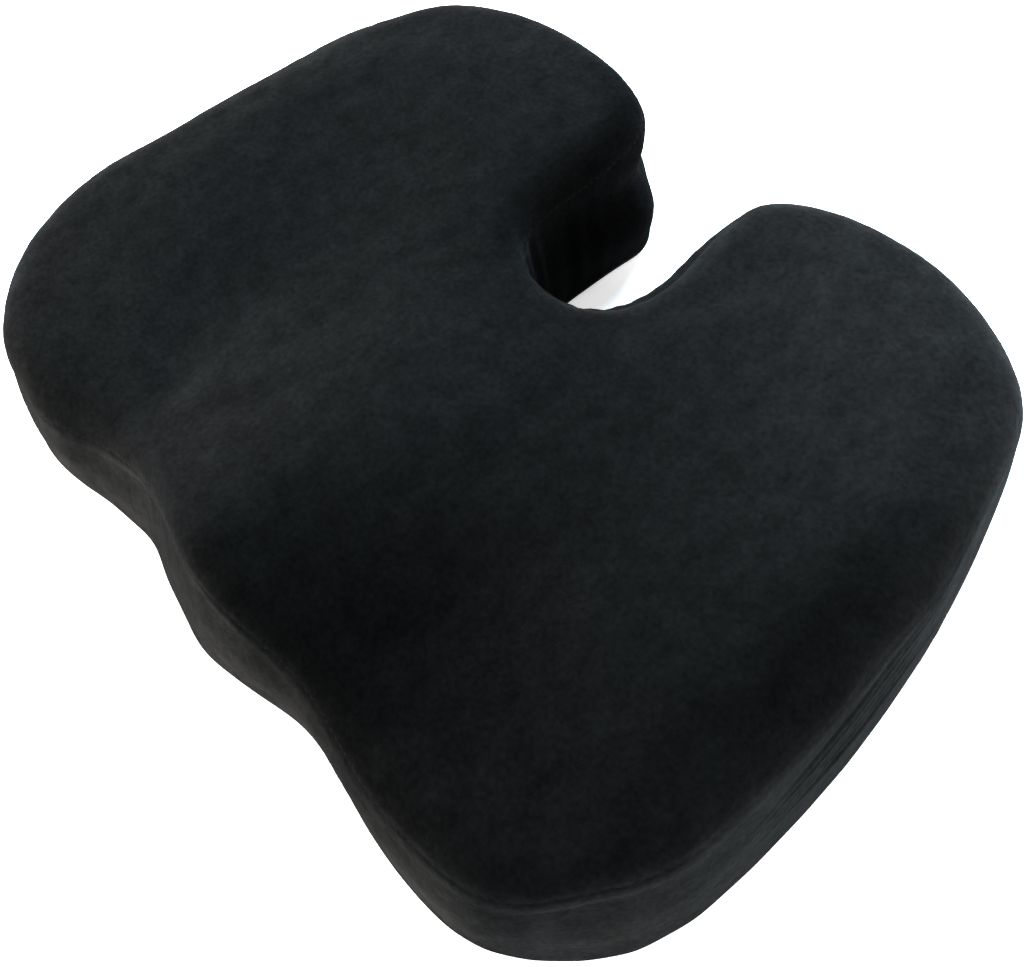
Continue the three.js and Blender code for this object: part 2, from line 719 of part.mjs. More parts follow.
// Pull tab: a tapered plate with a window, hung on a cross-bar under the slider's bridge.
// It lies flat towards -X when the zip is closed.
function zipPull() {
  const wide = PULL_WIDTH / 2;
  const narrow = wide - PULL_TAPER;
  const [cornerLong, cornerWide] = PULL_CORNER;
  const plan = new THREE.Shape();
  plan.moveTo(0, -narrow);
  plan.lineTo(0, narrow);
  plan.lineTo(-PULL_WINDOW, narrow);
  plan.lineTo(cornerLong - PULL_LENGTH, wide);
  plan.lineTo(-PULL_LENGTH, wide - cornerWide);
  plan.lineTo(-PULL_LENGTH, cornerWide - wide);
  plan.lineTo(cornerLong - PULL_LENGTH, -wide);
  plan.lineTo(-PULL_WINDOW, -narrow);
  plan.closePath();
  const thin = { depth: PULL_THICKNESS, bevelEnabled: false };
  const plate = solid(new THREE.ExtrudeGeometry(plan, thin));
  const room = PULL_WINDOW_WIDTH / 2;
  const opening = block([-PULL_WINDOW, -room, -1], [1, room, PULL_THICKNESS + 1]);
  const bar = new THREE.CylinderGeometry(PULL_BAR_RADIUS, PULL_BAR_RADIUS, 2 * narrow, 12);
  return plate
    .subtract(opening)
    .translate([0, 0, -PULL_THICKNESS / 2])
    .add(solid(bar))
    .translate([SLIDER_X, ZIP_Y, PULL_AXIS_Z]);
}

add("zip_slider", geometryOf(zipSlider()), PAINTED_ZINC);
add("zip_pull", geometryOf(zipPull()), PAINTED_ZINC);

export default group;
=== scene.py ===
import math

import bmesh
import bpy
import numpy as np
from mathutils import Matrix, Vector
from mathutils.bvhtree import BVHTree
from mathutils.geometry import delaunay_2d_cdt
from mathutils.kdtree import KDTree


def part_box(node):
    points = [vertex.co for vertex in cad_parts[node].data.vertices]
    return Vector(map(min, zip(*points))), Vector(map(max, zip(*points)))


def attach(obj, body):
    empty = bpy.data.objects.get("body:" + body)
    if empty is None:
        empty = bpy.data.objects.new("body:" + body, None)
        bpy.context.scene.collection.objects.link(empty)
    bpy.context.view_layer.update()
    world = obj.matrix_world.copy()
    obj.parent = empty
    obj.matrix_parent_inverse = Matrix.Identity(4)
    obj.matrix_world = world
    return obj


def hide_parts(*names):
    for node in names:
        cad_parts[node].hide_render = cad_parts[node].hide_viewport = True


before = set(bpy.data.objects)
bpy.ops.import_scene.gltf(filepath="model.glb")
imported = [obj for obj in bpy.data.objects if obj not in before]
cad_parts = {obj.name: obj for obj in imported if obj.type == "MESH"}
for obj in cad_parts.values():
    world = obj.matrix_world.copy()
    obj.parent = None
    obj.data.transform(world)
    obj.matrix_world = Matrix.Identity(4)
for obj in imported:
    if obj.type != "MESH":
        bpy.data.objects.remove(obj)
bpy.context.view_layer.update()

# ---- driving values (metres)

MM = 0.001
WALL_LEAN = 6 * MM  # how far the side leans in below the roundover
TOP_RADIUS = 17 * MM  # roundover between side and top
TOP_SEAM_DROP = 10 * MM  # top seam below the top
BOTTOM_RADIUS = 8 * MM
CLOTH = 1.3 * MM  # thickness of the velour
SAMPLES = 720  # samples round the outline
FIELD_STEP = 4 * MM  # spacing of the height field
TOP_SPACING = 3.2 * MM  # spacing of the top panel's vertices
SEAM_TUCK = 3 * MM  # fabric turned in at a seam
SEAM_DIP = 0.2 * MM  # depth of the crease at a seam
SEAM_DIP_WIDTH = 1.5 * MM
STITCH_SUNK = 0.45 * MM  # the stitches lie this deep in the seam
TURNED_EDGE = 50  # degrees: the fold where cloth turns in at a seam
BAND_ROWS = 50
OUTLINE_SOFT = 2.2  # smoothing of the outline and of its directions, in samples
NORMALS_SOFT = 1.5
SETTLED = 0.4 * MM  # how far the filled cover stands out beyond the bottom seam thread
SWELL = 0.6  # share of the simulated swelling that the cover shows


def smoothstep(value, low, high):
    t = np.clip((value - low) / (high - low), 0, 1)
    return t * t * (3 - 2 * t)


def bell(distance, spread):
    return np.exp(-((distance / spread) ** 2))


# ---- the outline, from the frame


def node_points(name):
    """Distinct vertices of a CAD node."""
    co = np.array([v.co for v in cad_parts[name].data.vertices], float)
    return np.unique(np.round(co, 6), axis=0)


def walk(points):
    """Orders points of a closed loop, counter-clockwise from the front, by stepping to the nearest."""
    left = list(range(len(points)))
    at = int(np.argmin(points[:, 1] + abs(points[:, 0])))
    order = [at]
    left.remove(at)
    while left:
        gaps = np.linalg.norm(points[left, :2] - points[order[-1], :2], axis=1)
        at = left[int(np.argmin(gaps))]
        order.append(at)
        left.remove(at)
    loop = points[order]
    ahead = np.roll(loop, -1, axis=0)
    area = np.sum(loop[:, 0] * ahead[:, 1] - ahead[:, 0] * loop[:, 1])
    return loop if area > 0 else np.roll(loop[::-1], 1, axis=0)


def resample(loop, count):
    """Evenly spaced points round a closed loop."""
    turn = np.vstack([loop, loop[:1]])
    steps = np.linalg.norm(np.diff(turn[:, :2], axis=0), axis=1)
    reach = np.concatenate([[0], np.cumsum(steps)])
    at = np.linspace(0, reach[-1], count, endpoint=False)
    return np.stack([np.interp(at, reach, turn[:, k]) for k in range(loop.shape[1])], axis=1)


def smooth_loop(values, spread):
    """Periodic Gaussian smoothing round the outline. spread is in samples."""
    turns = np.fft.rfftfreq(len(values))
    keep = np.exp(-2 * (math.pi * spread * turns) ** 2)
    shape = (-1,) + (1,) * (values.ndim - 1)
    return np.fft.irfft(np.fft.rfft(values, axis=0) * keep.reshape(shape), len(values), axis=0)


seam_points = node_points("bottom_seam_thread")
BOTTOM_SEAM_Z = float(seam_points[:, 2].min() + seam_points[:, 2].max()) / 2
upper = seam_points[seam_points[:, 2] > seam_points[:, 2].max() - 0.1 * MM]
base = smooth_loop(resample(walk(upper), SAMPLES)[:, :2], OUTLINE_SOFT)


def normals_of(loop):
    """Unit directions into a counter-clockwise loop."""
    along = np.roll(loop, -1, axis=0) - np.roll(loop, 1, axis=0)
    along /= np.linalg.norm(along, axis=1)[:, None]
    return np.stack([-along[:, 1], along[:, 0]], axis=1)


inward = smooth_loop(normals_of(base), NORMALS_SOFT)
inward /= np.linalg.norm(inward, axis=1)[:, None]
base = base - inward * SETTLED
girth = float(np.linalg.norm(np.roll(base, -1, axis=0) - base, axis=1).sum())
STEP = girth / SAMPLES


def sample_near(x, y):
    return int(np.argmin(np.hypot(base[:, 0] - x, base[:, 1] - y)))


def along_from(at):
    """Signed distance along the outline from the sample nearest to a place in mm."""
    start = sample_near(at[0] * MM, at[1] * MM)
    offset = (np.arange(SAMPLES) - start + SAMPLES // 2) % SAMPLES - SAMPLES // 2
    return offset * STEP


def along_bell(at, reach):
    """Soft bump along the outline round a place, 1 at its middle (mm)."""
    return bell(along_from(at), reach * MM)


def inside_of(x, y):
    """Distance from the outline for arrays of points."""
    gap = np.full(np.shape(x), 1.0)
    for px, py in base[::3]:
        gap = np.minimum(gap, np.hypot(x - px, y - py))
    return gap


def is_in_loop(loop, x, y):
    found = np.zeros(np.shape(x), bool)
    for (ax, ay), (bx, by) in zip(loop, np.roll(loop, -1, axis=0)):
        if ay == by:
            continue
        found ^= ((ay > y) != (by > y)) & (x < (bx - ax) * (y - ay) / (by - ay) + ax)
    return found


# ---- height of the top, from the frame


def neighbour_mean(value):
    edge = np.pad(value, 1, mode="edge")
    return (edge[:-2, 1:-1] + edge[2:, 1:-1] + edge[1:-1, :-2] + edge[1:-1, 2:]) / 4


class Field:
    """A smooth height over the plan, read from the CAD top panel and its seam."""

    FILL_PASSES = 900
    SOFT_PASSES = 10
    THREAD_LIFT = 0.5 * MM  # the crest of the seam thread above the cloth

    def __init__(self):
        pad = 30 * MM
        low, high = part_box("top_panel")
        self.x0, self.y0 = low.x - pad, low.y - pad
        self.nx = int((high.x + pad - self.x0) / FIELD_STEP) + 2
        self.ny = int((high.y + pad - self.y0) / FIELD_STEP) + 2
        xs = self.x0 + np.arange(self.nx) * FIELD_STEP
        ys = self.y0 + np.arange(self.ny) * FIELD_STEP
        gx, gy = np.meshgrid(xs, ys, indexing="ij")
        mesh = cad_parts["top_panel"].data
        tree = BVHTree.FromPolygons([v.co for v in mesh.vertices], [p.vertices for p in mesh.polygons])
        deep = inside_of(gx, gy) > WALL_LEAN + TOP_RADIUS
        height = np.zeros_like(gx)
        known = np.zeros(gx.shape, bool)
        for i, j in zip(*np.nonzero(deep)):
            hit = tree.ray_cast(Vector((gx[i, j], gy[i, j], 1)), Vector((0, 0, -1)))
            if hit[0] is not None:
                height[i, j] = hit[0].z
                known[i, j] = True
        thread = walk(self.seam_crest())
        for x, y, z in resample(thread, SAMPLES):
            i = int(round((x - self.x0) / FIELD_STEP))
            j = int(round((y - self.y0) / FIELD_STEP))
            height[i, j] = z - self.THREAD_LIFT + TOP_SEAM_DROP
            known[i, j] = True
        self.values = self.filled(height, known)

    @staticmethod
    def seam_crest():
        """Highest vertices of the top seam thread, one for each of its samples."""
        points = node_points("top_seam_thread")
        crest = []
        for p in points:
            close = np.linalg.norm(points[:, :2] - p[:2], axis=1) < 0.05 * MM
            if p[2] >= points[close, 2].max() - 1e-7 and np.count_nonzero(close) > 1:
                crest.append(p)
        return np.array(crest)

    def filled(self, height, known):
        """Spreads the known heights over the gaps, then softens the whole."""
        value = np.where(known, height, height[known].mean())
        for _ in range(self.FILL_PASSES):
            value = np.where(known, height, neighbour_mean(value))
        for _ in range(self.SOFT_PASSES):
            value = 0.4 * value + 0.6 * neighbour_mean(value)
        return value

    def at(self, x, y):
        u = np.clip((np.asarray(x) - self.x0) / FIELD_STEP, 0, self.nx - 1.001)
        v = np.clip((np.asarray(y) - self.y0) / FIELD_STEP, 0, self.ny - 1.001)
        i, j = u.astype(int), v.astype(int)
        a, b = u - i, v - j
        f = self.values
        return (f[i, j] * (1 - a) * (1 - b) + f[i + 1, j] * a * (1 - b)
                + f[i, j + 1] * (1 - a) * b + f[i + 1, j + 1] * a * b)


field = Field()

# ---- how full the cover is

# Each entry is a place on the outline (x, y), the reach along it and a size, all in mm.
# How far the stuffing pushes the top edge of the cover out, or lets it in (negative):
TOP_BULGES = [
    (-208, 80, 40, 3.6),
    (-222, -72, 26, 3.8),
    (-222, -20, 24, -1.6),
    (-196, -143, 20, 1.0),
    (-120, 169, 38, -2.8),
    (-48, 155, 18, 1.8),
    (-32, 134, 16, 0.6),
    (16, 53, 32, -3.4),
    (40, 147, 24, 1.4),
    (140, 164, 62, 1.7),
    (-86, 168, 28, -2.6),
    (193, 122, 26, 2.0),
    (27, 74, 26, -3.4),
    (-188, -151, 20, -1.8),
    (-210, 62, 34, 1.2),
    (-28, -163, 42, -8.0),
    (-118, -165, 24, 4.4),
    (90, -161, 44, 3.8),
    (204, -129, 24, -4.2),
    (208, 45, 26, 2.4),
]

# The same at the foot:
FOOT_BULGES = [
    (-196, -143, 20, -2.0),
    (-168, -163, 16, -1.8),
    (-48, 155, 18, -0.4),
    (-32, 134, 16, 2.2),
    (-50, -161, 28, -3.2),
    (203, 98, 28, -1.8),
    (199, -140, 32, -1.4),
    (90, -161, 24, 1.3),
    (0, -170, 18, 1.2),
    (-134, -167, 22, 1.0),
    (-77, -158, 14, 1.2),
    (-44, 152, 15, -5.0),
    (-44, -161, 20, 3.4),
]

# How much lower, or higher (negative), the top seam runs on the side than elsewhere:
SEAM_SHIFTS = [
    (-29, 95, 40, 7.0),
    (27, 75, 46, -5.2),
    (-160, -165, 44, 6.5),
    (204, -128, 26, -1.5),
    (210, 45, 26, 2.0),
]

# The band rolls out over the seam on one side of the cut-out (mm).
ROLL = {"at": (26, 80), "reach": 42, "out": 2.8, "below": 3.5, "size": 6.0}

# The side has a waist with a bulge below it round the mouth of the cut-out (mm).
WAIST = {"height": 52, "spread": 11, "depth": 4.6}
LOW_BULGE = {"height": 26, "spread": 12, "out": 3.0}
MOUTH = [{"at": (-38, 145), "reach": 52}, {"at": (38, 145), "reach": 46}]
STEEPEST = 0.02  # smallest sine of the angle where the top seam runs


def bumps(places):
    """Sum of soft bumps along the outline, one value for each sample."""
    return sum(size * MM * along_bell((x, y), reach) for x, y, reach, size in places)


TOP_OUT = bumps(TOP_BULGES)
FOOT_OUT = bumps(FOOT_BULGES)
SEAM_DROP = TOP_SEAM_DROP + bumps(SEAM_SHIFTS)
SEAM_ANGLE = np.arcsin(np.clip(1 - SEAM_DROP / TOP_RADIUS, STEEPEST, 1))
ROLL_OUT = ROLL["out"] * MM * along_bell(ROLL["at"], ROLL["reach"])
MOUTH_SHARE = np.clip(sum(along_bell(m["at"], m["reach"]) for m in MOUTH), 0, 1)

# ---- rings of the cover


def low_ring(inside, z):
    """Ring of 3-D points round the underside."""
    return np.column_stack([base + inward * (inside - FOOT_OUT)[:, None], np.full(SAMPLES, z)])


def top_ring(angle):
    """Ring on the roundover. angle is above the horizontal: a number or one for each sample."""
    angle = angle + np.zeros(SAMPLES)
    shift = TOP_OUT * (1 - angle / (math.pi / 2))
    inside = WALL_LEAN + TOP_RADIUS * (1 - np.cos(angle)) - shift
    flat = base + inward * inside[:, None]
    z = field.at(flat[:, 0], flat[:, 1]) - TOP_RADIUS * (1 - np.sin(angle))
    return np.column_stack([flat, smooth_loop(z, 2)])


def flat_ring(inside):
    """Ring on the flat part of the top."""
    flat = base + inward * inside
    return np.column_stack([flat, field.at(flat[:, 0], flat[:, 1])])


wall_top = top_ring(0)
wall_foot = low_ring(0, BOTTOM_SEAM_Z)
WALL_LENGTH = np.linalg.norm(wall_top - wall_foot, axis=1)
BAND_LENGTH = WALL_LENGTH + TOP_RADIUS * SEAM_ANGLE


def band_ring(share):
    """Ring of the upright band: 0 at the bottom seam, 1 at the top seam."""
    reach = share * BAND_LENGTH
    t = np.minimum(reach / WALL_LENGTH, 1)[:, None]
    wall = wall_foot * (1 - t) + wall_top * t
    rounded = top_ring(np.clip((reach - WALL_LENGTH) / TOP_RADIUS, 0, SEAM_ANGLE))
    return np.where((reach > WALL_LENGTH)[:, None], rounded, wall)


top_seam = band_ring(1)

# ---- meshes


def new_object(name, vertices, faces):
    mesh = bpy.data.meshes.new(name)
    mesh.from_pydata([tuple(v) for v in vertices], [], [tuple(f) for f in faces])
    mesh.update()
    made = bpy.data.objects.new(name, mesh)
    bpy.context.scene.collection.objects.link(made)
    return made


def shade_smooth(obj, sharp=None):
    """Smooth shading. Edges that turn by more than sharp degrees stay crisp."""
    obj.data.polygons.foreach_set("use_smooth", [True] * len(obj.data.polygons))
    if sharp:
        obj.data.set_sharp_from_angle(angle=math.radians(sharp))


def coordinates(obj):
    co = np.zeros(len(obj.data.vertices) * 3, np.float32)
    obj.data.vertices.foreach_get("co", co)
    return co.reshape(-1, 3).astype(float)


def set_coordinates(obj, co):
    obj.data.vertices.foreach_set("co", co.astype(np.float32).ravel())
    obj.data.update()


def vertex_normals(obj):
    found = np.zeros(len(obj.data.vertices) * 3, np.float32)
    obj.data.vertex_normals.foreach_get("vector", found)
    return found.reshape(-1, 3).astype(float)


def grid_faces(rows, columns, closed, first=0):
    """Quads between rows of vertices. With closed the last column joins the first."""
    faces = []
    last = columns if closed else columns - 1
    for r in range(rows - 1):
        for c in range(last):
            d = (c + 1) % columns
            low, high = first + r * columns, first + (r + 1) * columns
            faces.append((low + c, low + d, high + d, high + c))
    return faces


def apply_modifier(obj, kind, **values):
    """Adds a modifier with the given values and applies it."""
    modifier = obj.modifiers.new(kind.lower(), kind)
    for key, value in values.items():
        setattr(modifier, key, value)
    bpy.context.view_layer.objects.active = obj
    for other in bpy.context.selected_objects:
        other.select_set(False)
    obj.select_set(True)
    bpy.ops.object.modifier_apply(modifier=modifier.name)


def thicken(obj, thickness):
    """Turns a surface into a closed shell, with the cloth on its inner side."""
    apply_modifier(obj, "SOLIDIFY", thickness=thickness, offset=-1, use_even_offset=False)


def tree_of(points):
    tree = KDTree(len(points))
    for i, p in enumerate(points):
        tree.insert(p, i)
    tree.balance()
    return tree


def copies(placed, shape_faces):
    """Vertices and faces of placed copies of one shape."""
    size = len(placed[0])
    faces = [tuple(k * size + i for i in face) for k in range(len(placed)) for face in shape_faces]
    return np.vstack(placed), faces


def small_piece(name, node, vertices, faces):
    """A smooth piece that stands in for a CAD node."""
    made = new_object(name, vertices, faces)
    shade_smooth(made)
    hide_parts(node)
    return made


def ring_edges(first, count):
    return [(first + i, first + (i + 1) % count) for i in range(count)]


def filled_region(boundary, spacing, hole=np.empty((0, 2))):
    """Triangles that fill a closed 2-D loop, round a hole if one is given.

    Returns the points (the loop first, the hole last) and the faces.
    """
    low, high = boundary.min(axis=0), boundary.max(axis=0)
    rows = np.arange(low[1], high[1], spacing * math.sqrt(3) / 2)
    inner = []
    for k, y in enumerate(rows):
        xs = np.arange(low[0] + (k % 2) * spacing / 2, high[0], spacing)
        inner.append(np.column_stack([xs, np.full(len(xs), y)]))
    inner = np.vstack(inner)
    inner = inner[is_in_loop(boundary, inner[:, 0], inner[:, 1])]
    gap = np.full(len(inner), 1.0)
    for p in boundary:
        gap = np.minimum(gap, np.hypot(inner[:, 0] - p[0], inner[:, 1] - p[1]))
    inner = inner[gap > spacing * 0.55]
    inner = inner[~is_in_loop(hole, inner[:, 0], inner[:, 1])]
    points = np.vstack([boundary, inner, hole])
    count = len(boundary)
    edges = ring_edges(0, count) + ring_edges(count + len(inner), len(hole))
    out = delaunay_2d_cdt([Vector(p) for p in points], edges, [list(range(count))], 1, 1e-7)
    source = [found[0] if found else -1 for found in out[3]]
    faces = [[source[i] for i in face] for face in out[2]]
    faces = [f for f in faces if min(f) >= 0]
    middles = np.array([points[f].mean(axis=0) for f in faces])
    covered = is_in_loop(hole, middles[:, 0], middles[:, 1])
    return points, [f for f, is_hole in zip(faces, covered) if not is_hole]


# ---- cloth simulation of the cover


class Swelling:
    """How far the stuffed cover swells, from a cloth simulation of its whole form."""

    VOXEL = 5 * MM
    CAP = 3.5 * MM  # no point moves further than this
    NEIGHBOURS = 8
    FRAMES = 20
    HELD_FOOT = (6 * MM, 14 * MM)  # held below the first height, free above the second
    SEAM_HOLD = 0.75  # how firmly the top seam is held
    SEAM_REACH = 6 * MM
    FABRIC = {
        "quality": 6,
        "mass": 0.3,
        "tension_stiffness": 40,
        "compression_stiffness": 40,
        "shear_stiffness": 20,
        "bending_stiffness": 3,
        "use_pressure": True,
        "uniform_pressure_force": 4,
    }

    def __init__(self):
        self.tree = None
        self.simulate()

    @staticmethod
    def form():
        """The closed outer form of the cover: foot, band, roundover and top."""
        rings = [low_ring(BOTTOM_RADIUS + 1 * MM, 1.5 * MM), low_ring(2.4 * MM, 2.6 * MM), wall_foot]
        rings += [band_ring(share) for share in np.linspace(0.1, 1, 12)]
        rings += [top_ring(SEAM_ANGLE + (math.pi / 2 - SEAM_ANGLE) * t) for t in np.linspace(0, 1, 7)[1:]]
        rings = [r[::2] for r in rings]
        count = len(rings[0])
        top, top_faces = filled_region(rings[-1][:, :2], 9 * MM)
        vertices = [*np.vstack(rings), *np.column_stack([top, field.at(top[:, 0], top[:, 1])])[count:]]
        faces = grid_faces(len(rings), count, True)
        first = (len(rings) - 1) * count
        faces += [tuple(first + i for i in face) for face in top_faces]
        faces.append(tuple(reversed(range(count))))
        return new_object("cover_form", vertices, faces)

    def simulate(self):
        form = self.form()
        apply_modifier(form, "REMESH", mode="VOXEL", voxel_size=self.VOXEL)
        rest = coordinates(form)
        held = form.vertex_groups.new(name="held")
        near_seam = tree_of(top_seam)
        for i, p in enumerate(rest):
            low = float(1 - smoothstep(p[2], *self.HELD_FOOT))
            seam = self.SEAM_HOLD * float(bell(near_seam.find(p)[2], self.SEAM_REACH))
            weight = max(low, seam)
            if weight > 0.02:
                held.add([i], weight, "REPLACE")
        settings = form.modifiers.new("cloth", "CLOTH").settings
        for key, value in self.FABRIC.items():
            setattr(settings, key, value)
        settings.vertex_group_mass = held.name
        settings.effector_weights.gravity = 0
        scene = bpy.context.scene
        for number in range(1, self.FRAMES + 1):
            scene.frame_set(number)
        graph = bpy.context.evaluated_depsgraph_get()
        moved = coordinates(form.evaluated_get(graph)) - rest
        scene.frame_set(1)
        reach = np.linalg.norm(moved, axis=1)[:, None]
        self.moved = moved * np.minimum(1, self.CAP / np.maximum(reach, 1e-9))
        self.tree = tree_of(rest)
        bpy.data.objects.remove(form)

    def at(self, points):
        """Movement of the cover near each point."""
        found = np.zeros((len(points), 3))
        if self.tree is None:
            return found
        for i, p in enumerate(points):
            near = self.tree.find_n(p, self.NEIGHBOURS)
            weights = np.array([1 / (gap + 2 * MM) ** 2 for _, _, gap in near])
            found[i] = weights @ self.moved[[index for _, index, _ in near]] / weights.sum()
        return found


swelling = Swelling()

# ---- folds, wrinkles and seams


def wave_noise(points, size, seed, octaves=3):
    """Smooth noise, about -1 to 1, made of a fixed set of random plane waves."""
    local = np.random.default_rng(seed)
    total = np.zeros(len(points))
    for octave in range(octaves):
        for _ in range(7):
            direction = local.normal(size=points.shape[1])
            direction *= 2 * math.pi / (size / 2**octave) / np.linalg.norm(direction)
            phase = local.uniform(0, 2 * math.pi)
            total += np.sin(points @ direction + phase) * 0.55**octave
    return total / 5


# Folds that run up the band (mm; low and high are shares of its height).
UPRIGHT_FOLDS = [
    {"at": (-66, -159), "count": 5, "spacing": 5.5, "depth": 0.55, "low": 0.1, "high": 1.0},
    {"at": (86, -159), "count": 4, "spacing": 7.0, "depth": 0.3, "low": 0.3, "high": 1.0},
    {"at": (-22, 54), "count": 4, "spacing": 9.0, "depth": 1.8, "low": 0.0, "high": 1.0},
    {"at": (20, 52), "count": 4, "spacing": 8.0, "depth": 1.5, "low": 0.0, "high": 1.0},
    {"at": (-29, 90), "count": 5, "spacing": 14.0, "depth": 0.8, "low": 0.0, "high": 0.8},
    {"at": (29, 95), "count": 4, "spacing": 12.0, "depth": 0.8, "low": 0.0, "high": 0.8},
]

# Wrinkles that run along the band (mm; share, gap and drift are shares of its height, and drift
# is for each mm along it).
LONG_WRINKLES = [
    {"at": (222, -8), "length": 80, "depth": 1.1, "count": 5, "share": 0.64, "gap": 0.08, "drift": 0.0016},
    {"at": (-222, -30), "length": 80, "depth": 0.7, "count": 3, "share": 0.5, "gap": 0.13, "drift": -0.0012},
    {"at": (150, 163), "length": 55, "depth": 0.6, "count": 3, "share": 0.5, "gap": 0.14, "drift": 0.001},
]


def upright_folds(sample, share):
    """Outward relief of the upright folds."""
    out = np.zeros(len(sample))
    for fold in UPRIGHT_FOLDS:
        along = along_from(fold["at"])[sample]
        spacing = fold["spacing"] * MM
        bent = along + 1.6 * MM * np.sin(share * 3 + fold["spacing"])
        crest = np.cos(2 * math.pi * bent / spacing)
        reach = bell(along, fold["count"] * spacing * 0.45)
        rise = smoothstep(share, fold["low"] - 0.2, fold["low"] + 0.25)
        fall = 1 - smoothstep(share, fold["high"] - 0.15, fold["high"] + 0.1)
        out += fold["depth"] * MM * 0.5 * crest * reach * rise * np.maximum(fall, 0.35)
    return out


def long_wrinkles(sample, share):
    """Outward relief of the long wrinkles."""
    out = np.zeros(len(sample))
    for wrinkle in LONG_WRINKLES:
        along = along_from(wrinkle["at"])[sample]
        reach = bell(along, wrinkle["length"] * MM * 0.55)
        for k in range(wrinkle["count"]):
            wander = 0.012 * math.sin(k * 2.1 + 1) + 0.008 * np.sin(along / (17 * MM) + 2.4 * k)
            middle = wrinkle["share"] + (k - (wrinkle["count"] - 1) / 2) * wrinkle["gap"]
            middle = middle + wrinkle["drift"] * along / MM * (1 + 0.15 * k) + wander
            local = wrinkle["depth"] * MM * reach * (0.65 + 0.35 * math.cos(1.7 * k))
            out += local * (bell(share - middle, 0.022) - 0.4 * bell(share - middle - 0.04, 0.026))
    return out


SLOW_WAVE = 0.3 * MM  # height of the slow waves
GATHER = 0.14 * MM  # height of the gathers


def unevenness(sample, share):
    """Slow waves over the band and fine gathers at its seams."""
    turn = 2 * math.pi * sample / SAMPLES
    around = np.column_stack([np.cos(turn), np.sin(turn)])
    slow = wave_noise(np.column_stack([around * 4, share]), 2.2, 11)
    fine = wave_noise(np.column_stack([around * girth / (2 * math.pi), share * 0.02]), 9 * MM, 12, 2)
    return SLOW_WAVE * slow + GATHER * fine * (bell(1 - share, 0.1) + bell(share, 0.1))


BAND_ROUND = 1.5 * MM  # how far the middle of the band stands out
SLOT_FLATTER = 0.8 * MM  # how much less it does so in the cut-out
SLOT_REACH = 45 * MM  # the cut-out, to either side of the middle
SLOT_START = (20 * MM, 50 * MM)  # it begins between these places along Y
MOUTH_FADE = 12 * MM  # the waist fades in below the seam


def band_profile(sample, share, z):
    """Roundness of the band between its two seams, and its waist near the cut-out."""
    slot = bell(base[sample, 0], SLOT_REACH) * smoothstep(base[sample, 1], *SLOT_START)
    out = (BAND_ROUND - SLOT_FLATTER * slot) * np.sin(math.pi * np.clip(share, 0, 1)) ** 2
    below = (1 - share) * BAND_LENGTH[sample]
    mouth = MOUTH_SHARE[sample] * smoothstep(below, 0, MOUTH_FADE)
    out -= mouth * WAIST["depth"] * MM * bell(z - WAIST["height"] * MM, WAIST["spread"] * MM)
    out += mouth * LOW_BULGE["out"] * MM * bell(z - LOW_BULGE["height"] * MM, LOW_BULGE["spread"] * MM)
    crest = ROLL["below"] * MM
    fall = bell(np.maximum(below - crest, 0), ROLL["size"] * MM)
    out += ROLL_OUT[sample] * smoothstep(below, 0, crest) * fall
    return out


def crease(distance):
    """Inward dip beside a seam."""
    return -SEAM_DIP * bell(distance, SEAM_DIP_WIDTH)


# ---- cover: upright bands


def band_piece(name, samples):
    """A run of the upright band, with its edges turned in at both seams."""
    edge = np.array([0, 0.012, 0.026, 0.045])
    shares = np.concatenate([edge, np.linspace(0.065, 0.935, BAND_ROWS), 1 - edge[::-1]])
    rows = np.array([band_ring(share)[samples] for share in shares])
    made = new_object(name, rows.reshape(-1, 3), grid_faces(len(shares), len(samples), False))
    normal = vertex_normals(made)
    sample = np.tile(samples, len(shares))
    share = np.repeat(shares, len(samples))
    relief = upright_folds(sample, share) + long_wrinkles(sample, share) + unevenness(sample, share)
    out = relief * smoothstep(share, 0, 0.06) * (1 - smoothstep(share, 0.97, 1))
    out += band_profile(sample, share, rows[:, :, 2].ravel())
    out += crease(np.minimum(share, 1 - share) * BAND_LENGTH[sample])
    ends = np.minimum(np.arange(len(samples)), np.arange(len(samples))[::-1]) * STEP
    out += np.tile(crease(ends), len(shares))
    co = coordinates(made) + normal * out[:, None]
    co += SWELL * swelling.at(co)
    co = co.reshape(len(shares), len(samples), 3)
    normal = normal.reshape(len(shares), len(samples), 3)
    tucked = co - normal * SEAM_TUCK
    rows = np.concatenate([tucked[:1], co, tucked[-1:]])
    bpy.data.objects.remove(made)
    made = new_object(name, rows.reshape(-1, 3), grid_faces(len(rows), len(samples), False))
    thicken(made, CLOTH)
    shade_smooth(made, TURNED_EDGE)
    return made


def join_sample(node):
    low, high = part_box(node)
    return sample_near((low.x + high.x) / 2, (low.y + high.y) / 2)


RIGHT_JOIN = join_sample("band_join_thread_right")
LEFT_JOIN = join_sample("band_join_thread_left")
side_samples = np.arange(LEFT_JOIN, RIGHT_JOIN + SAMPLES + 1) % SAMPLES
cutout_samples = np.arange(RIGHT_JOIN, LEFT_JOIN + 1)

side_band = band_piece("cover_side_band", side_samples)
cutout_band = band_piece("cover_cutout_band", cutout_samples)
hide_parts("side_band")
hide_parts("cutout_band")

# ---- cover: top panel

# Waves of the top panel: size, depth and the seed of the noise (mm).
TOP_WAVES = [{"size": 95, "depth": 0.4, "seed": 21}, {"size": 24, "depth": 0.10, "seed": 22}]
TOP_GATHERS = {"size": 8, "depth": 0.14, "seed": 23, "reach": 7}
DIMPLE = {"at": (200, 8), "size": 5, "depth": 1.3}
# A shallow channel inside the seam on the right side, deepest a little in front of the middle.
CHANNEL = {"inside": 14, "size": 8, "depth": 0.8, "y": -55, "reach": 60, "fade": (120, 170)}


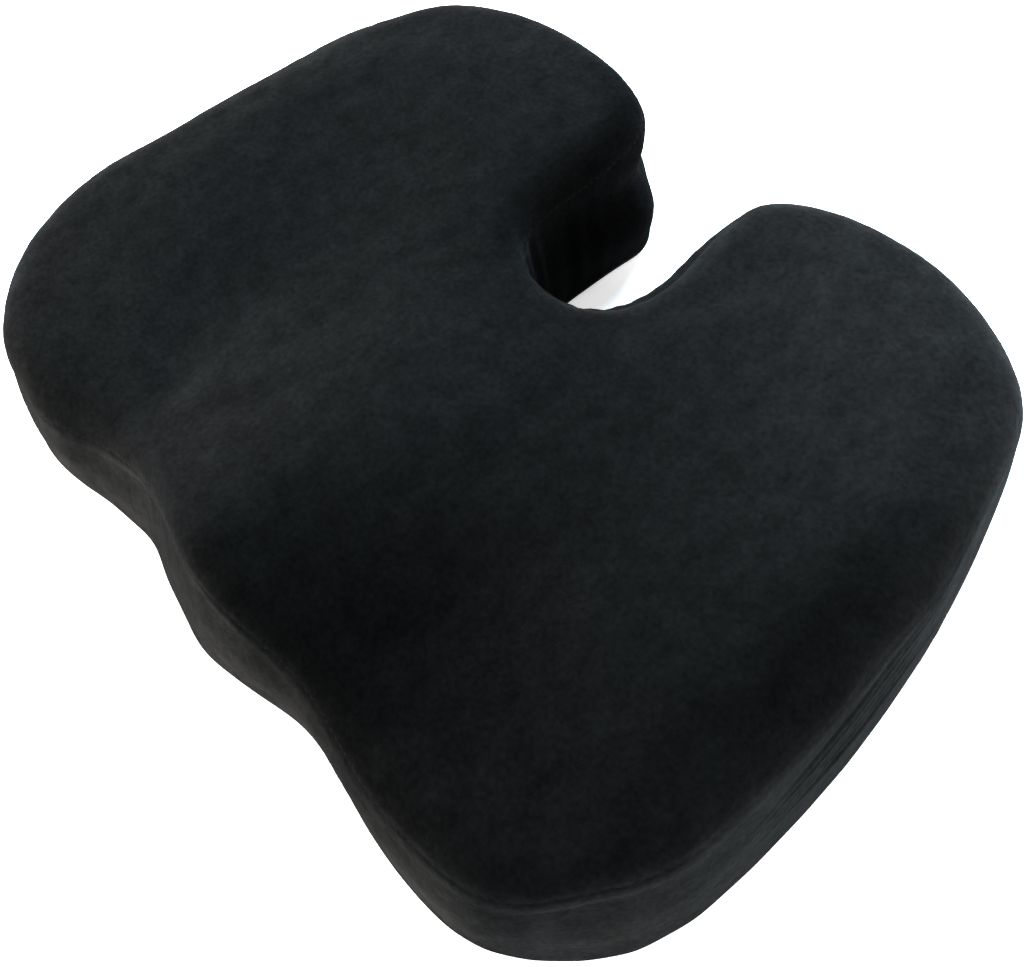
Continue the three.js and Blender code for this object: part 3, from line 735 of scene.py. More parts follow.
def top_relief(points, inside):
    """Soft unevenness of the top panel, and its gathers beside the seam."""
    plan = points[:, :2] / MM
    inside = inside / MM
    out = sum(w["depth"] * wave_noise(plan, w["size"], w["seed"], 2) for w in TOP_WAVES)
    gathers = wave_noise(plan, TOP_GATHERS["size"], TOP_GATHERS["seed"], 2)
    out += TOP_GATHERS["depth"] * gathers * bell(inside, TOP_GATHERS["reach"])
    out -= DIMPLE["depth"] * bell(np.linalg.norm(plan - DIMPLE["at"], axis=1), DIMPLE["size"])
    channel = bell(inside - CHANNEL["inside"], CHANNEL["size"])
    channel *= bell(plan[:, 1] - CHANNEL["y"], CHANNEL["reach"])
    out -= CHANNEL["depth"] * channel * smoothstep(plan[:, 0], *CHANNEL["fade"])
    return out * MM


def top_piece():
    """The contoured top panel, from the seam over the roundover, with its edge turned in."""
    shares = np.linspace(0, 1, 19) ** 1.15
    rest_angle = math.pi / 2 - SEAM_ANGLE
    rings = [top_ring(SEAM_ANGLE + rest_angle * t) for t in shares]
    for extra in (2.5, 5.0):
        rings.append(flat_ring(WALL_LEAN + TOP_RADIUS + extra * MM))
    loop = rings[-1][:, :2]
    points, inner_faces = filled_region(loop, TOP_SPACING)
    inner = points[SAMPLES:]
    inner = np.column_stack([inner, field.at(inner[:, 0], inner[:, 1])])
    vertices = np.vstack([*rings, inner])
    first = (len(rings) - 1) * SAMPLES
    faces = grid_faces(len(rings), SAMPLES, True) + [tuple(first + i for i in f) for f in inner_faces]
    made = new_object("cover_top_panel", vertices, faces)
    normal = vertex_normals(made)
    arc = np.concatenate([rest_angle * t * TOP_RADIUS for t in shares])
    flat = vertices[len(arc):]
    beyond = inside_of(flat[:, 0], flat[:, 1]) - WALL_LEAN - TOP_RADIUS
    from_seam = np.concatenate([arc, arc.max() + np.maximum(beyond, 0)])
    out = top_relief(vertices, from_seam) * smoothstep(from_seam, 0, 4 * MM) + crease(from_seam)
    co = vertices + normal * out[:, None]
    co += SWELL * swelling.at(co)
    tuck = co[:SAMPLES] - normal[:SAMPLES] * SEAM_TUCK
    shifted = [tuple(i + SAMPLES for i in f) for f in faces]
    bpy.data.objects.remove(made)
    made = new_object("cover_top_panel", np.vstack([tuck, co]), grid_faces(2, SAMPLES, True) + shifted)
    thicken(made, CLOTH)
    shade_smooth(made, TURNED_EDGE)
    return made


top_panel = top_piece()
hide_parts("top_panel")

# ---- cover: bottom panels

FLOOR_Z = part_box("bottom_panel_front")[0].z  # lower face of the bottom cloth
tape_low, tape_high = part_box("zip_tape_front")
rear_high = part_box("zip_tape_rear")[1]
ZIP_Y = (tape_low.y + rear_high.y) / 2
OPENING_HALF_LENGTH = tape_high.x
OPENING_HALF_WIDTH = rear_high.y - ZIP_Y
TAPE_Z = tape_low.z
FOLD_RADIUS = 2.2 * MM
OPENING_CORNER = 3 * MM
OPENING_STEP = 4 * MM  # spacing of the vertices along the opening
LIP_TURN = 0.6 * MM  # the edge of the opening turns in this far below the tape
LIP_WIDTH = 1.2 * MM
LIP_GAP = 0.03 * MM  # between the turned edge and the tape
BOTTOM_SPACING = 6 * MM
BOTTOM_INSET = 9 * MM  # where the bottom cloth is flat
RIM_END = 0.35  # radians: where the round bottom edge meets the flat part
BOTTOM_CLOTH = 1.0 * MM
GUARD_GAP = 0.7 * MM  # room between the zip guard and the slider
GUARD_MARGIN = (1.5 * MM, 1.0 * MM)  # how far it reaches past the opening, along X and Y
GUARD_SLACK = 0.35 * MM
GUARD_WAVE = 11 * MM
GUARD_ENDS = (12 * MM, 2 * MM)  # its ends come down to the tape between these distances from them


def opening_loop(grow):
    """Rounded rectangle round the zip opening, counter-clockwise."""
    corner = OPENING_CORNER + grow
    half_x, half_y = OPENING_HALF_LENGTH + grow, OPENING_HALF_WIDTH + grow
    points = []
    for quarter in range(4):
        sx = 1 if quarter in (0, 3) else -1
        sy = 1 if quarter in (0, 1) else -1
        middle = np.array([sx * (half_x - corner), ZIP_Y + sy * (half_y - corner)])
        for k in range(7):
            angle = math.pi / 2 * (quarter + k / 6)
            points.append(middle + corner * np.array([math.cos(angle), math.sin(angle)]))
    dense = []
    for a, b in zip(points, points[1:] + points[:1]):
        pieces = max(1, int(math.dist(a, b) / OPENING_STEP))
        dense += [a + (b - a) * k / pieces for k in range(pieces)]
    return np.array(dense)


def opening_walls():
    """The edge of the opening, turned up to the zip tape: growth of the loop and height."""
    walls = []
    for k in range(1, 6):
        angle = math.pi / 2 * k / 5
        walls.append((FOLD_RADIUS * (1 - math.sin(angle)), FOLD_RADIUS * (1 - math.cos(angle))))
    rise = TAPE_Z - FLOOR_Z
    walls.append((0.0, rise - LIP_TURN))
    walls.append((-LIP_WIDTH, rise - LIP_GAP))
    return walls


def bottom_surface():
    """Vertices and faces of the whole underside, with the zip opening turned up inside it."""
    rings = []
    for angle in np.linspace(math.acos(1 - BOTTOM_SEAM_Z / BOTTOM_RADIUS), RIM_END, 9):
        z = max(BOTTOM_RADIUS * (1 - math.cos(angle)), FLOOR_Z)
        rings.append(low_ring(BOTTOM_RADIUS * (1 - math.sin(angle)), z))
    rings.append(low_ring(BOTTOM_INSET, FLOOR_Z))
    rows = len(rings)
    rim = rings[-1][::2, :2]
    count = len(rim)
    hole = opening_loop(FOLD_RADIUS)
    points, flat_faces = filled_region(rim, BOTTOM_SPACING, hole)
    inner = points[count:]
    vertices = [*np.vstack(rings), *np.column_stack([inner, np.full(len(inner), FLOOR_Z)])]
    last, before = (rows - 1) * SAMPLES, (rows - 2) * SAMPLES

    def place(i):
        """Where a point of the flat part is among the vertices."""
        return last + 2 * i if i < count else rows * SAMPLES + i - count

    faces = [tuple(reversed(f)) for f in grid_faces(rows - 1, SAMPLES, True)]
    for c in range(0, SAMPLES, 2):
        d, e = c + 1, (c + 2) % SAMPLES
        faces.append((last + e, before + e, before + d, before + c, last + c))
    faces += [tuple(place(i) for i in reversed(f)) for f in flat_faces]
    previous = [place(len(points) - len(hole) + i) for i in range(len(hole))]
    for grow, rise in opening_walls():
        start = len(vertices)
        vertices += [(*p, FLOOR_Z + rise) for p in opening_loop(grow)]
        current = [start + i for i in range(len(hole))]
        for i in range(len(hole)):
            j = (i + 1) % len(hole)
            faces.append((previous[i], previous[j], current[j], current[i]))
        previous = current
    return vertices, faces


def add_guard(mesh):
    """The strip of cloth behind the zip, sewn to the rear panel, that keeps the foam out of it."""
    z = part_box("zip_slider")[1].z + GUARD_GAP
    drop = z - tape_high.z - 0.1 * MM
    columns, rows = 85, 9
    half_x = OPENING_HALF_LENGTH + GUARD_MARGIN[0]
    half_y = OPENING_HALF_WIDTH + GUARD_MARGIN[1]
    end_from, end_to = (half_x - away for away in GUARD_ENDS)
    grid = []
    for across in np.linspace(-1, 1, rows):
        for x in np.linspace(-half_x, half_x, columns):
            slack = GUARD_SLACK * (1 - across * across) * (1 + math.sin(x / GUARD_WAVE))
            sewn = drop * float(smoothstep(abs(x), end_from, end_to))
            grid.append(mesh.verts.new((x, ZIP_Y + half_y * across, z + slack - sewn)))
    for face in grid_faces(rows, columns, False):
        mesh.faces.new([grid[i] for i in reversed(face)])


def bottom_pieces():
    """The underside, parted along the line of the zip."""
    vertices, faces = bottom_surface()
    made = []
    for name, side in (("cover_bottom_front", -1), ("cover_bottom_rear", 1)):
        piece = new_object(name, vertices, faces)
        cut = bmesh.new()
        cut.from_mesh(piece.data)
        whole = cut.verts[:] + cut.edges[:] + cut.faces[:]
        plane = {"plane_co": (0, ZIP_Y, 0), "plane_no": (0, side, 0)}
        bmesh.ops.bisect_plane(cut, geom=whole, clear_inner=True, dist=1e-6, **plane)
        loose = [v for v in cut.verts if not v.link_faces]
        bmesh.ops.delete(cut, geom=loose, context="VERTS")
        bmesh.ops.recalc_face_normals(cut, faces=cut.faces)
        if sum(f.normal.z * f.calc_area() for f in cut.faces) > 0:
            bmesh.ops.reverse_faces(cut, faces=cut.faces)
        if side > 0:
            add_guard(cut)
        cut.to_mesh(piece.data)
        cut.free()
        thicken(piece, BOTTOM_CLOTH)
        shade_smooth(piece, TURNED_EDGE)
        made.append(piece)
    return made


bottom_front, bottom_rear = bottom_pieces()
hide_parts("bottom_panel_front")
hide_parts("bottom_panel_rear")

# ---- foam core

FOAM_ROOM = 2.5 * MM  # how far the softened core stays inside the CAD core
FOAM_VOXEL = 4 * MM
# Where the cover falls in, so does the core: fully up to the first distance from the outline, not
# at all beyond the second.
FOAM_YIELD = (15 * MM, 60 * MM)


def foam_piece():
    """The moulded core, hidden in the cover: the CAD core, remeshed and softened."""
    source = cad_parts["foam_core"]
    made = bpy.data.objects.new("foam_core_moulded", source.data.copy())
    bpy.context.scene.collection.objects.link(made)
    apply_modifier(made, "WELD", merge_threshold=0.01 * MM)
    apply_modifier(made, "REMESH", mode="VOXEL", voxel_size=FOAM_VOXEL)
    apply_modifier(made, "SMOOTH", factor=0.5, iterations=6)
    co = coordinates(made) - vertex_normals(made) * FOAM_ROOM
    nearest = tree_of(np.column_stack([base, np.zeros(SAMPLES)]))
    rim = [nearest.find((x, y, 0)) for x, y, _ in co]
    sample = np.array([index for _, index, _ in rim])
    inside = np.array([gap for _, _, gap in rim])
    share = np.clip(co[:, 2] / wall_top[sample, 2], 0, 1)
    move = TOP_OUT[sample] * share + FOOT_OUT[sample] * (1 - share)
    move = np.minimum(move, 0) * (1 - smoothstep(inside, *FOAM_YIELD))
    co[:, :2] -= inward[sample] * move[:, None]
    set_coordinates(made, co)
    made.data.materials.clear()
    shade_smooth(made)
    return made


foam_core = foam_piece()
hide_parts("foam_core")

# ---- stitches


def round_points(radius, sides, z=0.0):
    """Points evenly round a circle, as x, y, z."""
    turns = [2 * math.pi * k / sides for k in range(sides)]
    return [(radius * math.cos(turn), radius * math.sin(turn), z) for turn in turns]


def capsule(length, radius, sides=6):
    """Vertices and faces of one stitch along X, arched a little towards +Z."""
    stations = [(-0.42, 0.7), (-0.2, 1.0), (0.2, 1.0), (0.42, 0.7)]
    vertices = [(-length / 2, 0, -radius * 0.6)]
    for share, wide in stations:
        lift = radius * 0.9 * (1 - (2 * share) ** 2) - radius * 0.5
        for y, z, _ in round_points(radius * wide, sides):
            vertices.append((share * length, y, lift + z))
    vertices.append((length / 2, 0, -radius * 0.6))
    tail = len(vertices) - 1
    faces = grid_faces(len(stations), sides, True, 1)
    for k in range(sides):
        after = (k + 1) % sides
        faces.append((0, 1 + after, 1 + k))
        faces.append((tail - sides + k, tail - sides + after, tail))
    return np.array(vertices), faces


def stitch_row(name, node, path, out, length, gap, radius):
    """Separate stitches along a path. out is the outward direction at each path point."""
    steps = np.linalg.norm(np.diff(path, axis=0), axis=1)
    reach = np.concatenate([[0], np.cumsum(steps)])
    shape, shape_faces = capsule(length, radius)
    placed = []

    def at(values, s):
        return np.array([np.interp(s, reach, values[:, k]) for k in range(3)])

    for s in np.arange(length, reach[-1] - length / 2, length + gap):
        along = at(path, s + length / 3) - at(path, s - length / 3)
        along /= np.linalg.norm(along)
        up = at(out, s)
        up -= along * (up @ along)
        up /= np.linalg.norm(up)
        placed.append(at(path, s) + shape @ np.array([along, np.cross(up, along), up]))
    return small_piece(name, node, *copies(placed, shape_faces))


def ring_out(angle):
    """Outward directions round the cover at an angle above the horizontal."""
    angle = angle + np.zeros(SAMPLES)
    return np.column_stack([-inward * np.cos(angle)[:, None], np.sin(angle)])


def closed(values):
    return np.vstack([values, values[:1]])


SEAM_STITCH = {"length": 3.0 * MM, "gap": 0.8 * MM, "radius": 0.3 * MM}
JOIN_STITCH = {"length": 2.6 * MM, "gap": 0.7 * MM, "radius": 0.28 * MM}
ZIP_STITCH = {"length": 3.0 * MM, "gap": 0.7 * MM, "radius": 0.27 * MM}
ZIP_STITCH_SHORT = 4 * MM  # the row ends this far before the ends of the opening
ZIP_STITCH_AWAY = 1.6 * MM  # from the turned edge of the opening
JOIN_SHARES = np.linspace(0.02, 0.9, 40)  # the run of the upright stitching on the band


def seam_stitches(name, path, out):
    """Stitches all round the cover, sunk in a seam."""
    pieces = (f"{name}_seam_stitches", f"{name}_seam_thread")
    return stitch_row(*pieces, closed(path), closed(out), **SEAM_STITCH)


def join_stitches(side, sample):
    """Upright stitches where the two bands meet."""
    path = np.array([band_ring(share)[sample] for share in JOIN_SHARES])
    count = len(path)
    out = np.repeat([ring_out(0.1)[sample]], count, axis=0)
    bulge = band_profile(np.full(count, sample), JOIN_SHARES, path[:, 2]) + crease(np.zeros(count))
    path = path + out * bulge[:, None]
    path += SWELL * swelling.at(path)
    pieces = (f"band_join_stitches_{side}", f"band_join_thread_{side}")
    return stitch_row(*pieces, path, out, **JOIN_STITCH)


def zip_stitches(name, side):
    """Topstitching through the bottom cloth beside the zip."""
    x = OPENING_HALF_LENGTH - ZIP_STITCH_SHORT
    y = ZIP_Y + side * (OPENING_HALF_WIDTH + FOLD_RADIUS + ZIP_STITCH_AWAY)
    path = np.array([(x - 2 * x * t, y, FLOOR_Z) for t in np.linspace(0, 1, 60)])
    out = np.tile([0.0, 0.0, -1.0], (len(path), 1))
    return stitch_row(f"zip_topstitch_{name}", f"zip_stitching_{name}", path, out, **ZIP_STITCH)


top_path = top_seam - ring_out(SEAM_ANGLE) * STITCH_SUNK
stitch_pieces = [
    seam_stitches("top", top_path + SWELL * swelling.at(top_path), ring_out(SEAM_ANGLE)),
    seam_stitches("bottom", wall_foot - ring_out(0) * STITCH_SUNK, ring_out(0)),
    join_stitches("right", RIGHT_JOIN),
    join_stitches("left", LEFT_JOIN),
    zip_stitches("front", -1),
    zip_stitches("rear", 1),
]

# ---- grip dots

DOT_SPACING = 8.5 * MM
DOT_RADIUS = 1.9 * MM
DOT_BEDDED = 0.02 * MM  # how deep a dot sits in the cloth
DOT_EDGE = 16 * MM  # no dot is nearer to the outline than this
DOT_CLEAR = 4 * MM  # room round the label
label_low, label_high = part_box("care_label")


def dome(radius, height, sides=12):
    """One dot, flat side up at z = 0 and its dome below."""
    vertices = []
    levels = [(1.0, 0.0), (0.97, 0.35), (0.8, 0.72), (0.5, 0.93)]
    for wide, drop in levels:
        vertices += round_points(radius * wide, sides, -height * drop)
    vertices.append((0, 0, -height))
    faces = [tuple(reversed(f)) for f in grid_faces(len(levels), sides, True)]
    tip, last = len(vertices) - 1, (len(levels) - 1) * sides
    for k in range(sides):
        faces.append((last + k, tip, last + (k + 1) % sides))
    faces.append(tuple(range(sides)))
    return np.array(vertices), faces


def dot_piece(name, node):
    """Staggered rows of grip dots over one bottom panel, clear of its edge and of the label."""
    low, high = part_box(node)
    rows = np.arange(low.y + 3 * MM, high.y - 2 * MM, DOT_SPACING * math.sqrt(3) / 2)
    columns = int(high.x / DOT_SPACING)
    shape, shape_faces = dome(DOT_RADIUS, FLOOR_Z)
    placed = []
    for k, y in enumerate(rows):
        xs = (np.arange(-columns, columns + 1) + (k % 2) * 0.5) * DOT_SPACING
        ys = np.full(len(xs), y)
        fits = is_in_loop(base, xs, ys) & (inside_of(xs, ys) > DOT_EDGE)
        clear = (xs < label_low.x - DOT_CLEAR) | (xs > label_high.x + DOT_CLEAR)
        clear |= (ys < label_low.y - DOT_CLEAR) | (ys > label_high.y + DOT_CLEAR)
        placed += [shape + (x, y, FLOOR_Z + DOT_BEDDED) for x in xs[fits & clear]]
    return small_piece(name, node, *copies(placed, shape_faces))


dots = [dot_piece(f"grip_dot_field_{side}", f"grip_dots_{side}") for side in ("front", "rear")]

# ---- label


def label_piece():
    """Blank satin label, slightly wavy, lying on the bottom cloth."""
    columns, rows = 28, 18
    thickness = 0.25 * MM
    size = label_high - label_low
    vertices = []
    for v in np.linspace(0, 1, rows):
        for u in np.linspace(0, 1, columns):
            x, y = label_low.x + size.x * u, label_low.y + size.y * v
            ripple = 0.14 * MM * math.sin(5 * u + 3 * v) + 0.08 * MM * math.sin(13 * u - 4 * v)
            vertices.append((x, y, label_high.z - thickness + ripple))
    faces = [tuple(reversed(f)) for f in grid_faces(rows, columns, False)]
    made = new_object("care_label_blank", vertices, faces)
    thicken(made, thickness)
    shade_smooth(made)
    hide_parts("care_label")
    return made


label = label_piece()

# ---- zip coils

COIL_PITCH = 1.3 * MM
COIL_WIRE = 0.33 * MM  # radius
COIL_APART = 0.62 * MM  # each coil starts this far from the middle of the zip


def squarish(value):
    """Flattens the crests of a wave, so that a round loop becomes a squarish one."""
    return np.sign(value) * np.abs(value) ** 0.8


def coil_piece(name, side):
    """Nylon coil along one edge of the zip: one long helix of flattened loops."""
    low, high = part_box(f"zip_teeth_{name}")
    per_loop, sides = 16, 6
    loops = int((high.x - low.x) / COIL_PITCH)
    near = COIL_APART + COIL_WIRE
    far = (high.y - ZIP_Y if side > 0 else ZIP_Y - low.y) - COIL_WIRE
    middle_z, half_z = (low.z + high.z) / 2, (high.z - low.z) / 2 - COIL_WIRE
    turns = np.arange(loops * per_loop) / per_loop
    y = (near + far) / 2 - (far - near) / 2 * squarish(np.cos(2 * math.pi * turns))
    z = middle_z + half_z * squarish(np.sin(2 * math.pi * turns))
    path = np.column_stack([low.x + COIL_WIRE + turns * COIL_PITCH, ZIP_Y + side * y, z])
    along = np.gradient(path, axis=0)
    along /= np.linalg.norm(along, axis=1)[:, None]
    across = np.cross(along, (1.0, 0.0, 0.0))
    across /= np.linalg.norm(across, axis=1)[:, None]
    third = np.cross(along, across)
    rows = [path + a * across + b * third for a, b, _ in round_points(COIL_WIRE, sides)]
    vertices = np.stack(rows, axis=1).reshape(-1, 3)
    faces = grid_faces(len(path), sides, True)
    faces += [tuple(reversed(range(sides))), tuple(range(len(vertices) - sides, len(vertices)))]
    return small_piece(f"zip_coil_{name}", f"zip_teeth_{name}", vertices, faces)


coils = [coil_piece("front", -1), coil_piece("rear", 1)]

# ---- materials


class Nodes:
    """Short way to build a node material."""

    def __init__(self, name):
        self.material = bpy.data.materials.new(name)
        self.material.use_nodes = True
        self.tree = self.material.node_tree
        self.tree.nodes.clear()
        self.output = self.add("ShaderNodeOutputMaterial")
        self.shader = self.add("ShaderNodeBsdfPrincipled")
        self.link(self.shader, "BSDF", self.output, "Surface")
        self.place = self.add("ShaderNodeTexCoord")

    def add(self, kind, **values):
        node = self.tree.nodes.new(kind)
        for key, value in values.items():
            if hasattr(node, key):
                setattr(node, key, value)
            else:
                node.inputs[key.replace("_", " ")].default_value = value
        return node

    def link(self, source, output, target, name):
        self.tree.links.new(source.outputs[output], target.inputs[name])

    def noise(self, scale, detail=3.0, roughness=0.55, stretch=None):
        node = self.add("ShaderNodeTexNoise", Scale=scale, Detail=detail, Roughness=roughness)
        if stretch:
            mapping = self.add("ShaderNodeMapping", Scale=stretch)
            self.link(self.place, "Object", mapping, "Vector")
            self.link(mapping, "Vector", node, "Vector")
        else:
            self.link(self.place, "Object", node, "Vector")
        return node

    def wave(self, scale, direction, **values):
        """Ribs that follow each other along a direction."""
        node = self.add("ShaderNodeTexWave", Scale=scale, **values)
        node.bands_direction = direction
        self.link(self.place, "Object", node, "Vector")
        return node

    def ramp(self, source, output, stops):
        node = self.add("ShaderNodeValToRGB")
        for element, (position, colour) in zip(node.color_ramp.elements, stops):
            element.position = position
            element.color = (*colour, 1)
        self.link(source, output, node, "Fac")
        return node

    def remap(self, source, output, low, high, out_low, out_high):
        node = self.add("ShaderNodeMapRange")
        ranges = {"From Min": low, "From Max": high, "To Min": out_low, "To Max": out_high}
        for name, value in ranges.items():
            node.inputs[name].default_value = value
        self.link(source, output, node, "Value")
        return node

    def calc(self, operation, a, b):
        """A sum on two numbers or links, each link a node and the name of its output."""
        node = self.add("ShaderNodeMath", operation=operation)
        for index, value in enumerate((a, b)):
            if isinstance(value, tuple):
                self.link(*value, node, index)
            else:
                node.inputs[index].default_value = value
        return (node, "Value")

    def bump(self, source, output, strength, distance, after=None):
        node = self.add("ShaderNodeBump", Strength=strength, Distance=distance)
        self.link(source, output, node, "Height")
        if after:
            self.link(after, "Normal", node, "Normal")
        return node

    def paint(self, source, output, stops):
        """Sets the base colour from a ramp."""
        self.link(self.ramp(source, output, stops), "Color", self.shader, "Base Color")

    def relief(self, *values):
        """Sets the shader's bump."""
        self.link(self.bump(*values), "Normal", self.shader, "Normal")

    def drive(self, name, source, output, *ranges):
        """Sets an input of the shader from a value mapped to a new range."""
        self.link(self.remap(source, output, *ranges), "Result", self.shader, name)

    def set(self, **values):
        for key, value in values.items():
            self.shader.inputs[key.replace("_", " ")].default_value = value


# Patches of painted light and shade on the pile (mm): its middle, its reach along x and y,
# the change in brightness, and whether it carries on down the band.
PAINTED_SHADE_PATCHES = [
    # painted light on the right rear lobe
    {"at": (130, 110), "reach": (80, 80), "change": 0.85, "wall": False},
    # painted shade over the right front
    {"at": (90, -125), "reach": (75, 75), "change": -0.58, "wall": False},
    {"at": (-110, -95), "reach": (50, 50), "change": 0.36, "wall": False},
    {"at": (0, -40), "reach": (70, 70), "change": 0.16, "wall": False},
    # painted shade on the inner wall of the cut-out and down its band
    {"at": (-14, 102), "reach": (34, 62), "change": -0.7, "wall": True},
    {"at": (-52, 158), "reach": (24, 24), "change": -0.4, "wall": True},
    # painted shade along the roundover of the right side
    {"at": (196, -20), "reach": (18, 90), "change": -0.42, "wall": False},
]
PAINTED_SHADE_LOW = 8 * MM  # a painted light-and-shade patch of the top fades out on the band between these heights
PAINTED_SHADE_HIGH = 60 * MM
WANDER = 0.05  # how far the noise shifts the edge of a patch (m)


def painted_light_and_shade(n, patches, wander):
    """Painted light and shade over the plan: a brightness factor with soft uneven edges."""
    shifted = n.add("ShaderNodeVectorMath", operation="MULTIPLY_ADD")
    n.link(wander, "Color", shifted, 0)
    shifted.inputs[1].default_value = (WANDER, WANDER, 0.0)
    n.link(n.place, "Object", shifted, 2)
    value = 1.0
    for patch in patches:
        local = n.add("ShaderNodeVectorMath", operation="MULTIPLY_ADD")
        n.link(shifted, "Vector", local, 0)
        reach = [size * MM for size in patch["reach"]]
        middle = [at * MM + WANDER / 2 for at in patch["at"]]
        local.inputs[1].default_value = (1 / reach[0], 1 / reach[1], 0)
        local.inputs[2].default_value = (-middle[0] / reach[0], -middle[1] / reach[1], 0)
        far = n.add("ShaderNodeVectorMath", operation="LENGTH")
        n.link(local, "Vector", far, 0)
        fade = n.remap(far, "Value", 0.0, 1.8, patch["change"], 0.0)
        fade.interpolation_type = "SMOOTHSTEP"
        value = n.calc("ADD", value, (fade, "Result"))
    return value


def painted_light_and_shade_on_band(n, wander):
    """The painted light-and-shade patches of the top fade out down the band; the painted shade on the wall
    carries on.
    """
    top = painted_light_and_shade(n, [p for p in PAINTED_SHADE_PATCHES if not p["wall"]], wander)
    wall = painted_light_and_shade(n, [p for p in PAINTED_SHADE_PATCHES if p["wall"]], wander)
    split = n.add("ShaderNodeSeparateXYZ")
    n.link(n.place, "Object", split, "Vector")
    share = n.remap(split, "Z", PAINTED_SHADE_LOW, PAINTED_SHADE_HIGH, 0.0, 1.0)
    share.interpolation_type = "SMOOTHSTEP"
    change = n.calc("MULTIPLY", n.calc("SUBTRACT", top, 1.0), (share, "Result"))
    return n.calc("MULTIPLY", n.calc("ADD", change, 1.0), wall)


def velour(name, lightness, sheen, on_band):
    """Black velour: a very dark pile whose fibre tips catch light from the side."""
    n = Nodes(name)
    fibre = n.noise(1500, 4, 0.6)
    nap = n.noise(420, 3, 0.6)
    brushed = n.noise(95, 5, 0.66, (1, 0.7, 1))
    pile = n.bump(fibre, "Fac", 0.15, 0.0005)
    n.relief(nap, "Fac", 0.12, 0.0010, pile)
    mottle = n.remap(brushed, "Fac", 0.25, 0.75, 0.69, 1.31)
    grain = n.remap(nap, "Fac", 0.25, 0.75, 0.7, 1.3)
    wander = n.noise(9, 2)
    # painted light and shade patches scale the base colour and the sheen weight
    painted_shading = painted_light_and_shade_on_band(n, wander) if on_band else painted_light_and_shade(n, PAINTED_SHADE_PATCHES, wander)
    shade = n.calc("MULTIPLY", n.calc("MULTIPLY", (mottle, "Result"), (grain, "Result")), painted_shading)
    n.link(*n.calc("MULTIPLY", shade, lightness), n.shader, "Base Color")
    n.link(*n.calc("MULTIPLY", shade, sheen), n.shader, "Sheen Weight")
    n.set(Roughness=0.95, Specular_IOR_Level=0.0, Sheen_Roughness=0.45)
    return n.material


def base_cloth():
    """Close black knit of the bottom panels."""
    n = Nodes("base_cloth")
    ribs = n.wave(520, "X", Distortion=1.2, Detail=2.0)
    cross = n.wave(420, "Y", Distortion=1.0, Detail=2.0)
    weave = n.calc("MULTIPLY", (ribs, "Fac"), (cross, "Fac"))
    shade = n.ramp(*weave, [(0.0, (0.0015, 0.0015, 0.0016)), (1.0, (0.0075, 0.0076, 0.0080))])
    spread = n.remap(n.noise(45, 3), "Fac", 0.3, 0.7, 0.8, 1.2)
    colour = n.add("ShaderNodeVectorMath", operation="SCALE")
    n.link(shade, "Color", colour, 0)
    n.link(spread, "Result", colour, "Scale")
    n.link(colour, "Vector", n.shader, "Base Color")
    n.relief(*weave, 0.6, 0.0004)
    n.set(Roughness=0.9, Specular_IOR_Level=0.05, Sheen_Weight=0.02, Sheen_Roughness=0.5)
    return n.material


def foam():
    """Cream open-cell foam."""
    n = Nodes("foam")
    cells = n.add("ShaderNodeTexVoronoi", Scale=900.0)
    n.link(n.place, "Object", cells, "Vector")
    n.paint(n.noise(30, 3), "Fac", [(0.3, (0.72, 0.66, 0.50)), (0.7, (0.82, 0.77, 0.63))])
    n.relief(cells, "Distance", 0.5, 0.0005)
    n.set(Roughness=0.9, Specular_IOR_Level=0.2)
    return n.material


def silicone():
    """Soft black silicone of the grip dots."""
    n = Nodes("grip_silicone")
    dust = n.noise(240, 4)
    n.paint(dust, "Fac", [(0.35, (0.006, 0.006, 0.007)), (0.75, (0.016, 0.016, 0.017))])
    n.drive("Roughness", dust, "Fac", 0.3, 0.7, 0.38, 0.6)
    n.relief(dust, "Fac", 0.2, 0.0002)
    return n.material


def zip_tape():
    """Herringbone tape of the zip."""
    n = Nodes("zip_tape")
    ribs = n.wave(620, "DIAGONAL", Distortion=3.0, Detail=1.0)
    n.paint(ribs, "Fac", [(0.0, (0.008, 0.008, 0.009)), (1.0, (0.03, 0.03, 0.032))])
    n.relief(ribs, "Fac", 0.6, 0.0003)
    n.set(Roughness=0.8, Specular_IOR_Level=0.3)
    return n.material


def nylon():
    """Black nylon of the coils."""
    n = Nodes("zip_nylon")
    wear = n.noise(800, 3)
    n.paint(wear, "Fac", [(0.3, (0.016, 0.016, 0.018)), (0.8, (0.05, 0.05, 0.053))])
    n.drive("Roughness", wear, "Fac", 0.3, 0.7, 0.3, 0.5)
    return n.material


def painted_metal():
    """Black enamel on die-cast zinc, a little worn on the edges."""
    n = Nodes("zip_enamel")
    flecks = n.noise(1800, 4)
    edge = n.add("ShaderNodeNewGeometry")
    worn = n.remap(edge, "Pointiness", 0.53, 0.62, 0.0, 1.0)
    patchy = n.calc("MULTIPLY", (worn, "Result"), (flecks, "Fac"))
    n.paint(*patchy, [(0.25, (0.018, 0.018, 0.02)), (0.6, (0.32, 0.31, 0.3))])
    n.drive("Roughness", flecks, "Fac", 0.3, 0.7, 0.25, 0.42)
    n.drive("Metallic", *patchy, 0.25, 0.6, 0.25, 0.95)
    n.relief(flecks, "Fac", 0.12, 0.0001)
    return n.material


def thread():
    """Black twisted sewing thread."""
    n = Nodes("thread")
    twist = n.wave(1600, "DIAGONAL", Distortion=0.6)
    n.paint(twist, "Fac", [(0.0, (0.0006, 0.0006, 0.0007)), (1.0, (0.0026, 0.0026, 0.0028))])
    n.relief(twist, "Fac", 0.5, 0.0002)
    n.set(Roughness=0.7, Specular_IOR_Level=0.04)
    return n.material


